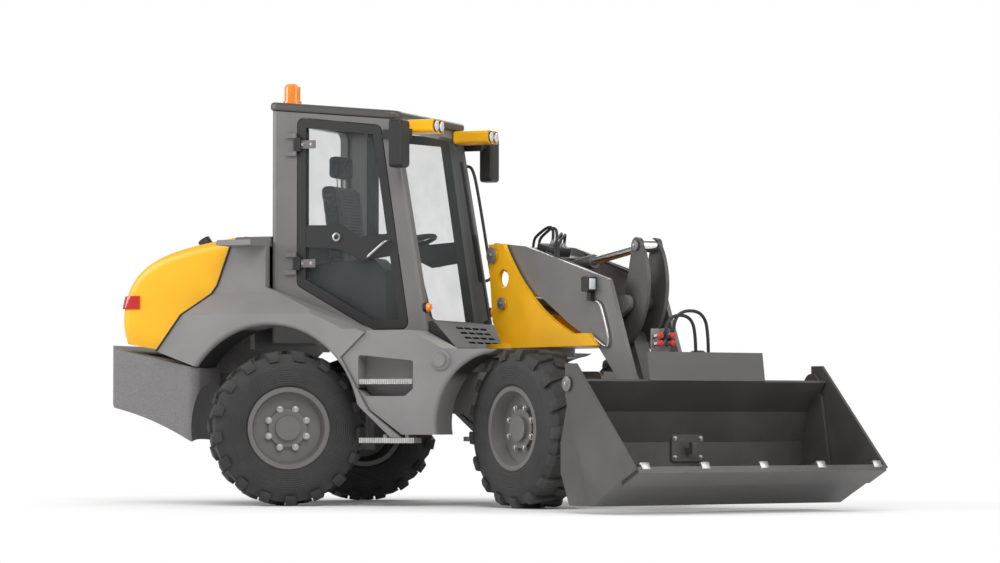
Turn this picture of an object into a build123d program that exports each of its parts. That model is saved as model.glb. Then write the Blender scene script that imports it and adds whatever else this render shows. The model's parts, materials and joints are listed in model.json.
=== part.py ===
from build123d import *
import math
import os

# Swing loader: rigid chassis, four-wheel steering, loader boom on a slewing tower.
# Millimetres. While modelling: +X forward, +Y to the machine's left, +Z up, Z = 0 on the ground,
# X = 0 half-way between the axles. The finished pieces are moved so that the origin is the
# middle of the bottom of the overall box.

# Running clearances
RUN_GAP = 0.3            # between flat faces that turn or slide past each other
PIN_GAP = 0.05           # radial, a pin or rod in its bore
SWEEP_GAP = 16.0         # steered tyre to the arches around it
DOOR_GAP = 6.0           # door leaf to its opening

# Chassis and wheels
WHEELBASE = 1953.0
KINGPIN_Y = 651.0        # kingpin axis from the centre line
WHEEL_OUT = 157.5        # kingpin axis to the middle of the tyre
REST_STEER = 33.0        # front wheels turned right, rear wheels turned left, as parked
TYRE_RADIUS = 522.0      # over the lugs
TYRE_WIDTH = 335.0
TYRE_SIDES = 24          # flats round the carcass
SHOULDER_FALL = 110.0    # height of the slanted shoulder
SHOULDER_INSET = 42.0
LUG_COUNT = 17           # in each of the two rows
LUG_HEIGHT = 26.0
LUG_TIP = 52.0           # width at the middle of the tread
LUG_HEEL = 78.0          # width at the shoulder
LUG_SLANT = 46.0         # how far the heel trails the tip
LUG_OVERLAP = 16.0       # past the middle of the tread
LUG_INSET = 5.0          # shoulder end inside the widest point of the sidewall
LUG_BEVEL = 40.0         # height of the slant at the shoulder end
LUG_BEVEL_INSET = 22.0
LUG_LEAN = 4.0
RIM_SEAT_RADIUS = 254.0  # 20 inch rim
RIM_WIDTH = 279.0        # 11 inch rim
RIM_FLANGE = 21.0        # flange height over the seat
RIM_WALL = 10.0
RIM_DROP = 28.0          # seat to the well that the disc is welded to
DISC_THICKNESS = 14.0
HUB_CAP_STEP = 26.0
DISC_INSET = 90.0        # outer flange plane to the wheel disc
HUB_INSET = 40.0         # outer flange plane to the hub cap
HUB_RADIUS = 128.0
HUB_NECK_RADIUS = 98.0   # inside the wheel disc
HUB_CAP_RADIUS = 82.0
HUB_FACE = 72.0          # kingpin axis to the face where the hub starts
SPINDLE_RADIUS = 42.0
SPINDLE_LENGTH = 70.0
KINGPIN_RADIUS = 32.0
KNUCKLE_HEIGHT = 220.0
KNUCKLE_RADIUS = 64.0
KNUCKLE_NECK = 55.0
KNUCKLE_FLANGE = 100.0
KNUCKLE_FLANGE_WALL = 24.0
EAR_THICKNESS = 46.0
EAR_RADIUS = 72.0
AXLE_TUBE_RADIUS = 72.0
AXLE_BOWL_RADIUS = 165.0
AXLE_BOWL_WIDTH = 230.0
AXLE_BOWL_ROUND = 40.0
AXLE_GAP = 12.0
AXLE_SEAT_HALF = 120.0
YOKE_BACK = 96.0         # kingpin axis to the yoke's back
YOKE_WALL = 40.0
YOKE_HALF = 72.0

# Frame
RAIL_Y = 255.0           # outer face of the frame rails
RAIL_THICKNESS = 40.0
RAIL_BOTTOM = 620.0
RAIL_TOP = 900.0
RAIL_RISE = 60.0         # how much the rails rise towards their ends
RAIL_ROUND = 40.0
FRAME_FRONT = 1180.0
FRAME_REAR = -2099.7      # against the front of the counterweight's tail
PLATE = 30.0             # cross plates
SLEW_X = 570.0           # slewing axis
SLEW_RING_RADIUS = 300.0
SLEW_RING_TOP = 1058.0
SLEW_RING_HEIGHT = 60.0
PEDESTAL_RADIUS = 235.0

# Rear body
TAIL_X = -2450.0         # rearmost point of the counterweight
WEIGHT_SIDE_X = -2265.0  # rear corner of the counterweight
WEIGHT_FRONT_X = -1530.0
WEIGHT_Y = 690.0         # half width at the rear corner
BODY_Y = 880.0           # half width over the wheel arches
BODY_INNER_Y = 470.0
WEIGHT_TOP_REAR = 1100.0
WEIGHT_TOP_FRONT = 930.0
WEIGHT_TIP_Z = 430.0
WEIGHT_REAR_Z = 690.0
WEIGHT_TOE = 40.0        # chamfer at the tip behind the rear wheel
WEIGHT_ROUND = 60.0
WEIGHT_TAIL_X = -2100.0  # front of the thick tail
WEIGHT_THROAT = 520.0    # half width of the recess that the frame rails and engine sit in
TOW_PIN_RADIUS = 16.0
TOW_JAW_GAP = 70.0
TOW_JAW_Z = 800.0
TOW_CHEEK = 28.0
TOW_JAW_WIDTH = 150.0
TOW_JAW_DEPTH = 120.0
TOW_PIN_INSET = 45.0
HOOD_REAR_X = -2225.0
HOOD_CREST_X = -1860.0
HOOD_TOP = 1830.0
HOOD_FRONT_X = -1375.0
HOOD_WALL = 34.0
HOOD_GAP = 7.0
HOOD_HALF = 640.0
HOOD_ROUND = 75.0        # rounding of the back corners and the top's side edges
HOOD_BULGE = 20.0        # how far the back bows out
HOOD_SHOULDER = 455.0    # height of the upright back
HOOD_FALL = 95.0         # crest below the hinge
HOOD_HINGE_RADIUS = 14.0
HOOD_HINGE_LENGTH = 120.0
HOOD_HINGE_Y = 380.0     # middle of each hinge barrel
SEAM_KNEE_X = -1490.0
SEAM_KNEE_Z = 1500.0
SEAM_FOOT_X = -1840.0
SEAM_FOOT_Z = 1045.0
EXHAUST_RADIUS = 45.0
EXHAUST_LENGTH = 150.0
EXHAUST_LEAN = 35.0
EXHAUST_X = -1760.0
EXHAUST_Y = -250.0
EXHAUST_Z = 1775.0
EXHAUST_WALL = 6.0

# Engine, one plain block under the hood
ENGINE_LENGTH = 660.0
ENGINE_WIDTH = 560.0
ENGINE_HEIGHT = 640.0
ENGINE_X = -1600.0

# Rear side panels
BELT_REAR_Z = 1480.0
BELT_FRONT_Z = 1160.0
FENDER_FRONT_X = -265.0
FENDER_NOTCH_X = -445.0
FENDER_NOTCH_Z = 995.0
FENDER_SHIN_X = -240.0
FENDER_SHIN_Z = 640.0
FENDER_TOE_X = -5.0
FENDER_TOE_Z = 462.0
FENDER_FLARE = 70.0
SHOULDER_Z = 1290.0      # the body leans in from here
SHOULDER_TOP = 1440.0
SHOULDER_Y = 650.0
ARCH_FRONT_X = -330.0
ARCH_FRONT_Z = 690.0
ARCH_TOP_X = -900.0
ARCH_TOP_Z = 1210.0

# Side panels between the wheels, steps and deck
PANEL_Y = 860.0
PANEL_SEAM = 5.0
FUEL_CAP = (282.0, 970.0)   # low enough for the tower to slew past
FUEL_CAP_RADIUS = 42.0
FUEL_CAP_HEIGHT = 16.0
FUEL_COLLAR = 16.0
FUEL_COLLAR_RADIUS = 70.0
ARCH_ROUND = 28.0        # rolled outer edge of the wheel arches
DECK_Y = 590.0
DECK_X = 450.0
DECK_THICKNESS = 60.0
PANEL_INNER_Y = 590.0
CAB_SEAT_Z = 1100.0      # top of the pedestal that carries the cab
CAB_PEDESTAL_Y = 300.0
STEP_LENGTH = 400.0
STEP_DEPTH = 120.0
STEP_HEIGHT = 34.0
LOWER_STEP_Z = 425.0
LOWER_STEP_X = -80.0
LOWER_STEP_Y = 930.0
UPPER_STEP_Z = 815.0
UPPER_STEP_X = -120.0
RECESS_DEPTH = 130.0
RECESS_HALF = 200.0
RECESS_TOP = 1010.0
RECESS_DROP = 80.0
RECESS_ROUND = 20.0
STEP_HANGER = 12.0
STEP_HANGER_X = 20.0
PANEL_TOP_Z = 1172.0
PANEL_BROW_X = 292.0
PANEL_BROW_Z = 1050.0
PANEL_NOSE_Z = 1040.0
PANEL_LIP_X = 740.0
PANEL_LIP_Z = 1024.0
PANEL_ARCH_X = 330.0
PANEL_ARCH_Z = 830.0
PANEL_FOOT_X = 250.0
PANEL_SILL_Z = 480.0
DECK_FRONT_X = 300.0
COWL_Y = 560.0
COWL_TOP = 1240.0
COWL_LEDGE = 30.0
COWL_FRONT_X = 262.0
COWL_FRONT_Z = 1060.0
LOUVRE_ROWS = 4
LOUVRE_COLUMNS = 4
LOUVRE_PITCH = 45.0
LOUVRE_WIDTH = 18.0
LOUVRE_LENGTH = 110.0
LOUVRE_BRIDGE = 26.0
LOUVRE_DEPTH = 22.0

# Cab
CAB_Y = 590.0
CAB_REAR_X = -1110.0
CAB_FRONT_X = 60.0
CAB_TOP_REAR = 2690.0
CAB_TOP_FRONT = 2600.0
CAB_HEADER_X = -185.0    # top of the windscreen
CAB_KNEE_Z = 1190.0      # foot of the windscreen
CAB_WALL = 55.0
CAB_ROUND = 42.0         # rounding of the cab's upright corners
PILLAR = 75.0
ROOF_THICKNESS = 62.0
ROOF_LIP = 28.0
ROOF_CORNER = 70.0       # rounding of the corners, seen from above
ROOF_EDGE = 24.0         # rounding of the top edge
GLASS = 8.0
GLASS_GAP = 0.3
DOOR_REAR_X = -905.0
DOOR_FRONT_TOP_X = -285.0
DOOR_FRONT_LOW_X = -75.0
DOOR_LOW_REAR_X = -355.0
DOOR_TOP_REAR = 2635.0
DOOR_TOP_FRONT = 2560.0
DOOR_LOW_FRONT = 1190.0
DOOR_LOW_REAR = 1495.0
DOOR_LEAF = 50.0
DOOR_FRAME = 62.0
HINGE_RADIUS = 12.0
HINGE_OUT = 18.0         # hinge axis outside the cab wall
HINGE_BACK = 12.0        # hinge axis behind the door's rear edge
HINGE_HEIGHT = 90.0
HINGE_LUG = 30.0
HINGE_ARM = 70.0
HINGE_LEVELS = (1640.0, 2450.0)
DOOR_ROUND = 45.0
DOOR_SWING = 100.0       # angle of the room kept free for the door
SCREEN_MARGIN = 60.0
SCREEN_ROUND = 60.0
REAR_WINDOW_Z = 1860.0
SEAT_X = -600.0          # middle of the cushion
SEAT_HEIGHT = 330.0      # cab floor to the cushion
SEAT_PAN = 30.0
SEAT_FOOT = 40.0
SEAT_FOOT_LENGTH = 420.0
SEAT_FOOT_WIDTH = 460.0
BELLOWS_LENGTH = 300.0
BELLOWS_WIDTH = 340.0
BELLOWS_DEPTH = 34.0     # how far a fold stands out, and its thickness
BELLOWS_FOLDS = 4
CUSHION = 110.0
CUSHION_LENGTH = 480.0
CUSHION_WIDTH = 500.0
CUSHION_ROUND = 60.0
BACKREST = 620.0
BACKREST_THICKNESS = 120.0
BACKREST_LEAN = 90.0
BACKREST_WIDTH = 460.0
BACKREST_ROUND = 40.0
COLUMN_X = -170.0
COLUMN_FOOT = 150.0
COLUMN_RADIUS = 38.0
COLUMN_HEIGHT = 640.0
COLUMN_LEAN = 170.0
STEERING_RADIUS = 185.0
STEERING_RIM = 16.0
STEERING_SPOKES = 3
STEERING_SIDES = 8       # flats round the rim's section
CONSOLE_LENGTH = 630.0
CONSOLE_HEIGHT = 520.0
CONSOLE_SLOPE = 95.0
CONSOLE_ROUND = 40.0
CONSOLE_INNER_Y = 290.0
LAMP_X = -40.0
LAMP_Y = 473.0
LAMP_Z = 2552.0
LAMP_WIDTH = 190.0
LAMP_HEIGHT = 90.0
LAMP_DEPTH = 260.0
BEACON_X = -1040.0
BEACON_Y = -400.0
BEACON_RADIUS = 55.0
BEACON_HEIGHT = 140.0
BEACON_STAND = 22.0
BEACON_FLANGE = 8.0
MIRROR_X = -60.0
MIRROR_Y = 770.0
MIRROR_Z = 2420.0
MIRROR_WIDTH = 150.0
MIRROR_HEIGHT = 320.0
MIRROR_DEPTH = 90.0
MIRROR_ROUND = 30.0
MIRROR_ARM = 12.0        # radius
MIRROR_FOOT = 60.0
MIRROR_FOOT_X = -260.0   # rear end of the arm's foot on the pillar
TAIL_LAMP_X = -2095.0    # front end of the lens
TAIL_LAMP_WIDTH = 95.0    # from the hood's side inwards
TAIL_LAMP_Z = 1390.0
TAIL_LAMP_LENGTH = 170.0
TAIL_LAMP_HEIGHT = 90.0
TAIL_LAMP_DEPTH = 12.0

# Slewing tower, boom and linkage; s forward of the slewing axis, z up, with the boom straight ahead
SLEW_REST = -34.0        # the boom points to the right as parked
PIN_HEAD = 16.0           # how far pin ends stand out
EYE_GAP = 6.0             # beside the eyes of rods and links
TOWER_FOOT_S = 60.0
TOWER_HEEL_S = -75.0
TOWER_HEEL_Z = 1240.0
TOWER_REAR_S = -125.0
TOWER_TOP = 1765.0
TOWER_BROW_S = 50.0
TOWER_WAIST_S = 325.0
TOWER_WAIST_Z = 1455.0
TOWER_KNEE_S = 880.0
TOWER_KNEE_Z = 1140.0
TOWER_TOE_S = 1150.0
TOWER_TOE_RISE = 95.0
TOWER_FLOOR_S = 880.0
TOWER_BACK_TOP = 1480.0
TOWER_BOX_DEPTH = 62.0    # folded cover behind the tower
TOWER_BOX_Y = 150.0
TOWER_WINDOW_S = 60.0
TOWER_WINDOW_Z = 1530.0
TOWER_WINDOW_RADIUS = 62.0
BOOM_SLEEVE = 24.0
BOOM_LAMP = (1049.0, 1458.0)
BOOM_LAMP_SIZE = 84.0
BOOM_LAMP_REACH = 64.0
BOOM_LAMP_FOOT = 12.0
BOOM_BROW_S = 260.0
BOOM_BROW_Z = 1738.0
BOOM_BEND_S = 1230.0
BOOM_BEND_Z = 1485.0
BOOM_SHIN_S = 1500.0
BOOM_SHIN_Z = 866.0
BOOM_CALF_S = 1440.0
BOOM_CALF_Z = 680.0
BOOM_HOCK_S = 1300.0
BOOM_HOCK_Z = 868.0
BOOM_KNEE_S = 1090.0
BOOM_KNEE_Z = 1070.0
BOOM_BELLY_S = 480.0
BOOM_BELLY_Z = 1375.0
BOOM_ROUND = 40.0
LIFT_BARREL_LENGTH = 690.0
LIFT_BORE_FROM = 130.0
LIFT_ROD_TAIL = 160.0
TILT_BARREL_LENGTH = 610.0
TILT_BORE_FROM = 85.0
TILT_ROD_TAIL = 235.0
LEVER_LOBE = 55.0
LEVER_BULGE_S = 1475.0
LEVER_BULGE_Z = 1420.0
TOWER_Y = 262.0
TOWER_PLATE = 30.0
BOOM_Y = 217.0
BOOM_PLATE = 30.0
BOOM_PIVOT = (-60.0, 1690.0)
BOOM_PIVOT_RADIUS = 42.0
BOOM_LOBE = 90.0
BOOM_NOSE = (1620.0, 560.0)
NOSE_PIN_RADIUS = 32.0
NOSE_LOBE = 72.0
LIFT_BASE = (60.0, 1360.0)
LIFT_EYE = (870.0, 1262.0)
LIFT_BARREL_RADIUS = 54.0
LIFT_EYE_RADIUS = 50.0
LIFT_ROD_RADIUS = 32.0
LIFT_PIN_RADIUS = 28.0
CYLINDER_EYE_HALF = 56.0  # half width of the cylinder eyes
TILT_BASE = (150.0, 1550.0)
TILT_EYE = (1350.0, 1700.0)
TILT_BARREL_RADIUS = 46.0
TILT_EYE_RADIUS = 42.0
TILT_ROD_RADIUS = 27.0
TILT_PIN_RADIUS = 24.0
LEVER_PIVOT = (1280.0, 1330.0)
LEVER_LOW = (1225.0, 1110.0)
LEVER_PIN_RADIUS = 30.0
LEVER_GAP = 60.0          # half gap between the two lever plates
LEVER_PLATE = 26.0
CROSS_TUBE = (1060.0, 1250.0)
CROSS_TUBE_RADIUS = 55.0
BRACKET_Y = 132.0
BRACKET_PLATE = 36.0
LINK_PIN_RADIUS = 22.0
LINK_LOBE = 40.0
COUPLER_PLATE = 30.0
NOSE_PIN_INNER = 130.0    # the nose pins leave the middle free for the link
COUPLER_Y = 420.0
COUPLER_LOW_Z = 255.0
COUPLER_TOP_Z = 700.0
RACK_NEAR_Y = 62.0        # plate for the hose couplings, between boom leg and link
RACK_FAR_Y = 176.0
RACK_TOP_Z = 1020.0
RACK_FOOT = 40.0
LINK_HALF_WIDTH = 54.0

# Four-in-one bucket: moldboard with a hinged clam
BUCKET_Y = 975.0
BUCKET_PLATE = 20.0
BUCKET_SIDE_GAP = 6.0
BUCKET_BACK_S = 1752.0
SPLIT_SLANT = 120.0
GUARD_LEAN = 25.0
CLAM_PEAK_Z = 925.0
TOOTH_LENGTH = 150.0
TOOTH_WIDTH = 60.0
TOOTH_HEIGHT = 44.0
CLAM_PIN = (1870.0, 800.0)
CLAM_PIN_RADIUS = 28.0
CLAM_LOBE = 75.0
CLAM_PIN_HEAD = 8.0
HOOK_PLATE_WIDTH = 250.0
HOOK_PLATE_HEIGHT = 170.0
HOOK_PLATE_ROUND = 18.0
HOOK_PLATE_WALL = 16.0
HOOK_PLATE_Z = 400.0
HOOK_REACH = 90.0
HOOK_WIDTH = 36.0
EDGE_LENGTH = 190.0       # bolted cutting edge under the lip
EDGE_THICKNESS = 22.0
BUCKET_TOP = (1985.0, 830.0)
BUCKET_CHEST = (1812.0, 640.0)
BUCKET_BACK_TOP = 440.0   # flat part of the back, where the coupler's plate bears
BUCKET_BACK_LOW = 250.0
BUCKET_HEEL = (1845.0, 50.0)
BUCKET_SPLIT = (2090.0, 50.0)
BUCKET_LIP = (2585.0, 280.0)
SPLIT_GAP = 18.0
GUARD_Y = 450.0
GUARD_TOP = 1000.0
TOOTH_COUNT = 5


def profile(points, radius=0.0):
    """A closed flat outline, with its corners rounded if a radius is given."""
    if radius:
        return make_face(FilletPolyline(*points, radius=radius, close=True))
    return make_face(Polyline(*points, close=True))


def side_solid(face, y_from, y_to):
    """A face drawn as (X, Z), standing upright from one Y to the other."""
    return Pos(0, y_to, 0) * extrude(Plane.XZ * face, y_to - y_from)


def plan_solid(face, z_from, z_to):
    """A face drawn as (X, Y), raised from one Z to the other."""
    return Pos(0, 0, z_from) * extrude(face, z_to - z_from)


def box_between(x_from, x_to, y_from, y_to, z_from, z_to):
    size = (x_to - x_from, y_to - y_from, z_to - z_from)
    return Pos((x_from + x_to) / 2, (y_from + y_to) / 2, (z_from + z_to) / 2) * Box(*size)


def pin_across(point, radius, y_from, y_to):
    """A round bar along Y through the point (X, Z)."""
    bar = Rot(90, 0, 0) * Cylinder(radius, y_to - y_from)
    return Pos(point[0], (y_from + y_to) / 2, point[1]) * bar


def post(x, y, radius, z_from, z_to):
    return Pos(x, y, (z_from + z_to) / 2) * Cylinder(radius, z_to - z_from)


def mirrored(shape):
    """The same piece on the machine's other side."""
    return mirror(shape, about=Plane.XZ)


def bent_outline(points, thickness):
    """Outline of a plate bent along the points, its thickness to the left of the way they run."""
    directions = []
    for (x0, z0), (x1, z1) in zip(points, points[1:]):
        length = math.hypot(x1 - x0, z1 - z0)
        directions.append(((x1 - x0) / length, (z1 - z0) / length))
    moved = []
    for index, (x, z) in enumerate(points):
        before = directions[max(index - 1, 0)]
        after = directions[min(index, len(directions) - 1)]
        middle = (-(before[1] + after[1]), before[0] + after[0])
        share = 1 + before[0] * after[0] + before[1] * after[1]
        moved.append((x + middle[0] / share * thickness, z + middle[1] / share * thickness))
    return list(points) + moved[::-1]


def along(start, end, distance):
    """The point at a distance from start towards end."""
    share = distance / math.dist(start, end)
    return (start[0] + (end[0] - start[0]) * share, start[1] + (end[1] - start[1]) * share)


def bar_between(start, end, radius, from_start, to_start):
    """A round bar on the line between two (X, Z) points, given by distances from the first."""
    first = along(start, end, from_start)
    last = along(start, end, to_start)
    direction = (last[0] - first[0], 0, last[1] - first[1])
    base = Plane(origin=(first[0], 0, first[1]), z_dir=direction)
    return extrude(base * Circle(radius), to_start - from_start)


def arm_outline(first, first_radius, last, last_radius):
    """Outline of an arm with round ends about two (X, Z) points."""
    ends = (Pos(*first) * Circle(first_radius)).edges() + (Pos(*last) * Circle(last_radius)).edges()
    return make_hull(ends)


def bored(shape, point, radius, half_width):
    """The shape with a bore along Y for a pin of the given radius."""
    return shape - pin_across(point, radius + PIN_GAP, -half_width, half_width)


def wheel_sweep(x, y):
    """Room that a steered tyre needs around its kingpin: a ball cut off just above the tyre."""
    reach = math.hypot(TYRE_RADIUS, WHEEL_OUT + TYRE_WIDTH / 2) + SWEEP_GAP
    ball = Pos(x, y, TYRE_RADIUS) * Sphere(reach)
    lid = TYRE_RADIUS * 2 + SWEEP_GAP
    return ball & box_between(x - reach, x + reach, y - reach, y + reach, -reach, lid)


def wheel_sweeps():
    half = WHEELBASE / 2
    return [wheel_sweep(x, y) for x in (half, -half) for y in (KINGPIN_Y, -KINGPIN_Y)]


def tyre_lug():
    """One lug at the top of the tyre, from past the middle of the tread out to the left shoulder."""
    outer = TYRE_WIDTH / 2 - LUG_INSET
    trail = LUG_SLANT + LUG_HEEL / 2
    plan = [(-LUG_TIP / 2, -LUG_OVERLAP), (LUG_TIP / 2, -LUG_OVERLAP), (trail, outer),
            (trail - LUG_HEEL, outer)]
    top = math.sqrt(TYRE_RADIUS ** 2 - trail ** 2)
    lug = plan_solid(profile(plan), TYRE_RADIUS - LUG_HEIGHT * 3, top)
    crown = lug.edges().group_by(Axis.Y)[-1].sort_by(Axis.Z)[-1]
    lug = chamfer(crown, LUG_BEVEL, LUG_BEVEL_INSET, reference=lug.faces().sort_by(Axis.Y)[-1])
    return Rot(0, LUG_LEAN, 0) * lug


def tyre_ring(radius, half_width):
    """A prism across the tyre whose flats lie at the given radius."""
    section = RegularPolygon(radius, TYRE_SIDES, major_radius=False)
    return extrude(Plane.XZ * section, half_width, both=True)


def tyre():
    """Tyre on its rim seat with two rows of lugs, in the knuckle's frame, for the left side."""
    half = TYRE_WIDTH / 2
    flange = RIM_SEAT_RADIUS + RIM_FLANGE + RUN_GAP
    carcass = tyre_ring(TYRE_RADIUS - LUG_HEIGHT, half)
    for end in (0, -1):
        shoulder = carcass.edges().group_by(Axis.Y)[end]
        wall = carcass.faces().sort_by(Axis.Y)[end]
        carcass = chamfer(shoulder, SHOULDER_FALL, SHOULDER_INSET, reference=wall)
    for side in (1, -1):
        carcass -= Pos(0, side * (RIM_WIDTH + TYRE_WIDTH) / 2, 0) * tyre_ring(flange, half)
    carcass -= tyre_ring(RIM_SEAT_RADIUS, half)
    pitch = 360 / LUG_COUNT
    lug = tyre_lug()
    lugs = []
    for index in range(LUG_COUNT):
        lugs.append(Rot(0, index * pitch, 0) * lug)
        lugs.append(Rot(0, (index + 0.5) * pitch, 0) * mirrored(lug))
    return Pos(0, WHEEL_OUT, 0) * (carcass + lugs)


def rim():
    """Rim, wheel disc and hub as one turning piece, in the knuckle's frame, for the left side."""
    seat = RIM_SEAT_RADIUS - RUN_GAP
    bead = RIM_WIDTH / 2 + RUN_GAP
    lip = bead + RIM_WALL
    flange = RIM_SEAT_RADIUS + RIM_FLANGE
    disc = lip - DISC_INSET
    cap = lip - HUB_INSET
    outline = [
        (-lip, flange), (-bead, flange), (-bead, seat), (bead, seat), (bead, flange), (lip, flange),
        (lip, seat - RIM_WALL), (disc, seat - RIM_DROP), (disc, HUB_RADIUS), (cap - HUB_CAP_STEP, HUB_RADIUS),
        (cap - HUB_CAP_STEP, HUB_CAP_RADIUS), (cap, HUB_CAP_RADIUS), (cap, 0),
        (HUB_FACE + RUN_GAP - WHEEL_OUT + SPINDLE_LENGTH, 0),
        (HUB_FACE + RUN_GAP - WHEEL_OUT + SPINDLE_LENGTH, SPINDLE_RADIUS + PIN_GAP),
        (HUB_FACE + RUN_GAP - WHEEL_OUT, SPINDLE_RADIUS + PIN_GAP),
        (HUB_FACE + RUN_GAP - WHEEL_OUT, HUB_NECK_RADIUS), (disc - DISC_THICKNESS, HUB_NECK_RADIUS),
        (disc - DISC_THICKNESS, seat - RIM_DROP - DISC_THICKNESS), (-lip, seat - RIM_WALL),
    ]
    return Pos(0, WHEEL_OUT, 0) * revolve(Plane.YZ * profile(outline), Axis.Y)


def knuckle():
    """Steering knuckle between the axle's ears, with the spindle that carries the wheel."""
    body = Cylinder(KNUCKLE_RADIUS, KNUCKLE_HEIGHT)
    flange = pin_across((0, 0), KNUCKLE_FLANGE, HUB_FACE - KNUCKLE_FLANGE_WALL, HUB_FACE)
    neck = pin_across((0, 0), KNUCKLE_NECK, 0, HUB_FACE)
    spindle = pin_across((0, 0), SPINDLE_RADIUS, 0, HUB_FACE + SPINDLE_LENGTH - RUN_GAP)
    kingpin = Cylinder(KINGPIN_RADIUS, KNUCKLE_HEIGHT + EAR_THICKNESS * 2)
    return body + flange + neck + spindle + kingpin


def axle():
    """Drive axle across the machine, with a bowl in the middle and an ear above and below each knuckle."""
    tube = pin_across((0, 0), AXLE_TUBE_RADIUS, -KINGPIN_Y + YOKE_BACK, KINGPIN_Y - YOKE_BACK)
    bowl = Rot(90, 0, 0) * Cylinder(AXLE_BOWL_RADIUS, AXLE_BOWL_WIDTH)
    housing = tube + chamfer(bowl.edges(), AXLE_BOWL_ROUND)
    low = KNUCKLE_HEIGHT / 2 + RUN_GAP
    for side in (1, -1):
        near = side * (KINGPIN_Y - YOKE_BACK)
        reach = near - side * YOKE_WALL
        housing += box_between(-YOKE_HALF, YOKE_HALF, *sorted((near, reach)), -low - EAR_THICKNESS,
                               low + EAR_THICKNESS)
        for z in (low + EAR_THICKNESS / 2, -low - EAR_THICKNESS / 2):
            ear = Pos(0, side * KINGPIN_Y, z) * Cylinder(EAR_RADIUS, EAR_THICKNESS)
            arm = box_between(-EAR_RADIUS, EAR_RADIUS, *sorted((reach, side * KINGPIN_Y)),
                              z - EAR_THICKNESS / 2, z + EAR_THICKNESS / 2)
            housing += ear + arm
        housing -= post(0, side * KINGPIN_Y, KINGPIN_RADIUS + PIN_GAP, -2 * low, 2 * low)
    return housing


def main_frame():
    """Two rails with cross plates, axle seats and the pedestal under the slewing ring."""
    inside = RAIL_Y - RAIL_THICKNESS
    end_low = RAIL_BOTTOM + RAIL_RISE
    outline = [(FRAME_REAR, end_low), (FRAME_REAR, RAIL_TOP), (FRAME_FRONT, RAIL_TOP), (FRAME_FRONT, end_low),
               (WHEELBASE / 2, RAIL_BOTTOM), (-WHEELBASE / 2, RAIL_BOTTOM)]
    rail = side_solid(profile(outline, RAIL_ROUND), inside, RAIL_Y)
    frame = rail + mirrored(rail)
    for x in (FRAME_FRONT - PLATE, FRAME_REAR, -DECK_X, DECK_X):
        frame += box_between(x, x + PLATE, -inside, inside, end_low + PLATE, RAIL_TOP)
    frame += box_between(SLEW_X - RAIL_Y, SLEW_X + RAIL_Y, -RAIL_Y, RAIL_Y, RAIL_TOP - PLATE, RAIL_TOP)
    ring_bottom = SLEW_RING_TOP - SLEW_RING_HEIGHT
    frame += post(SLEW_X, 0, PEDESTAL_RADIUS, RAIL_TOP, ring_bottom)
    frame += post(SLEW_X, 0, SLEW_RING_RADIUS, ring_bottom, SLEW_RING_TOP)
    for x in (WHEELBASE / 2, -WHEELBASE / 2):
        frame -= pin_across((x, TYRE_RADIUS), AXLE_BOWL_RADIUS + AXLE_GAP, -RAIL_Y, RAIL_Y)
        seat = box_between(x - AXLE_SEAT_HALF, x + AXLE_SEAT_HALF, inside, RAIL_Y,
                           TYRE_RADIUS + AXLE_TUBE_RADIUS * 0.5, RAIL_BOTTOM + PLATE * 4)
        frame += [seat, mirrored(seat)]
        frame -= pin_across((x, TYRE_RADIUS), AXLE_TUBE_RADIUS + RUN_GAP, -RAIL_Y, RAIL_Y)
    return frame


def counterweight():
    """Cast tail: wide at the wheel arches, swept in towards the rear, open in front for the frame."""
    plan = [(WEIGHT_FRONT_X, -BODY_Y), (WEIGHT_FRONT_X, BODY_Y), (WEIGHT_SIDE_X, WEIGHT_Y),
            (TAIL_X, WEIGHT_Y * 0.55), (TAIL_X, -WEIGHT_Y * 0.55), (WEIGHT_SIDE_X, -WEIGHT_Y)]
    with BuildSketch() as side:
        with BuildLine():
            top = Line((WEIGHT_FRONT_X, WEIGHT_TOP_FRONT), (TAIL_X, WEIGHT_TOP_REAR))
            rear = Line(top @ 1, (TAIL_X, WEIGHT_REAR_Z))
            belly = TangentArc(rear @ 1, (WEIGHT_FRONT_X - WEIGHT_TOE, WEIGHT_TIP_Z), tangent=(1, -0.12))
            Polyline(belly @ 1, (WEIGHT_FRONT_X, WEIGHT_TIP_Z + WEIGHT_TOE), top @ 0)
        make_face()
    tail = plan_solid(profile(plan, WEIGHT_ROUND), 0, WEIGHT_TOP_REAR)
    tail &= side_solid(side.sketch, -BODY_Y, BODY_Y)
    tail -= box_between(WEIGHT_TAIL_X, 0, -WEIGHT_THROAT, WEIGHT_THROAT, 0, WEIGHT_TOP_REAR)
    for sweep in wheel_sweeps()[2:]:
        tail -= sweep
    return tail


def tow_hitch():
    """Tow jaw on the tail's rear face, with an upright bore through both cheeks."""
    root = TAIL_X - RUN_GAP
    half = TOW_JAW_WIDTH / 2
    top = TOW_JAW_Z + TOW_JAW_GAP
    jaw = box_between(root - TOW_JAW_DEPTH, root, -half, half, TOW_JAW_Z - TOW_CHEEK, top + TOW_CHEEK)
    jaw = fillet(jaw.edges().filter_by(Axis.Z).group_by(Axis.X)[0], TOW_JAW_WIDTH * 0.45)
    jaw -= box_between(root - TOW_JAW_DEPTH, root - TOW_CHEEK, -half, half, TOW_JAW_Z, top)
    return jaw - post(tow_pin_x(), 0, TOW_PIN_RADIUS, TOW_JAW_Z - TOW_JAW_GAP, top + TOW_JAW_GAP)


def tow_pin_x():
    """Place of the upright tow pin along the machine."""
    return TAIL_X - RUN_GAP - TOW_JAW_DEPTH + TOW_PIN_INSET


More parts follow.
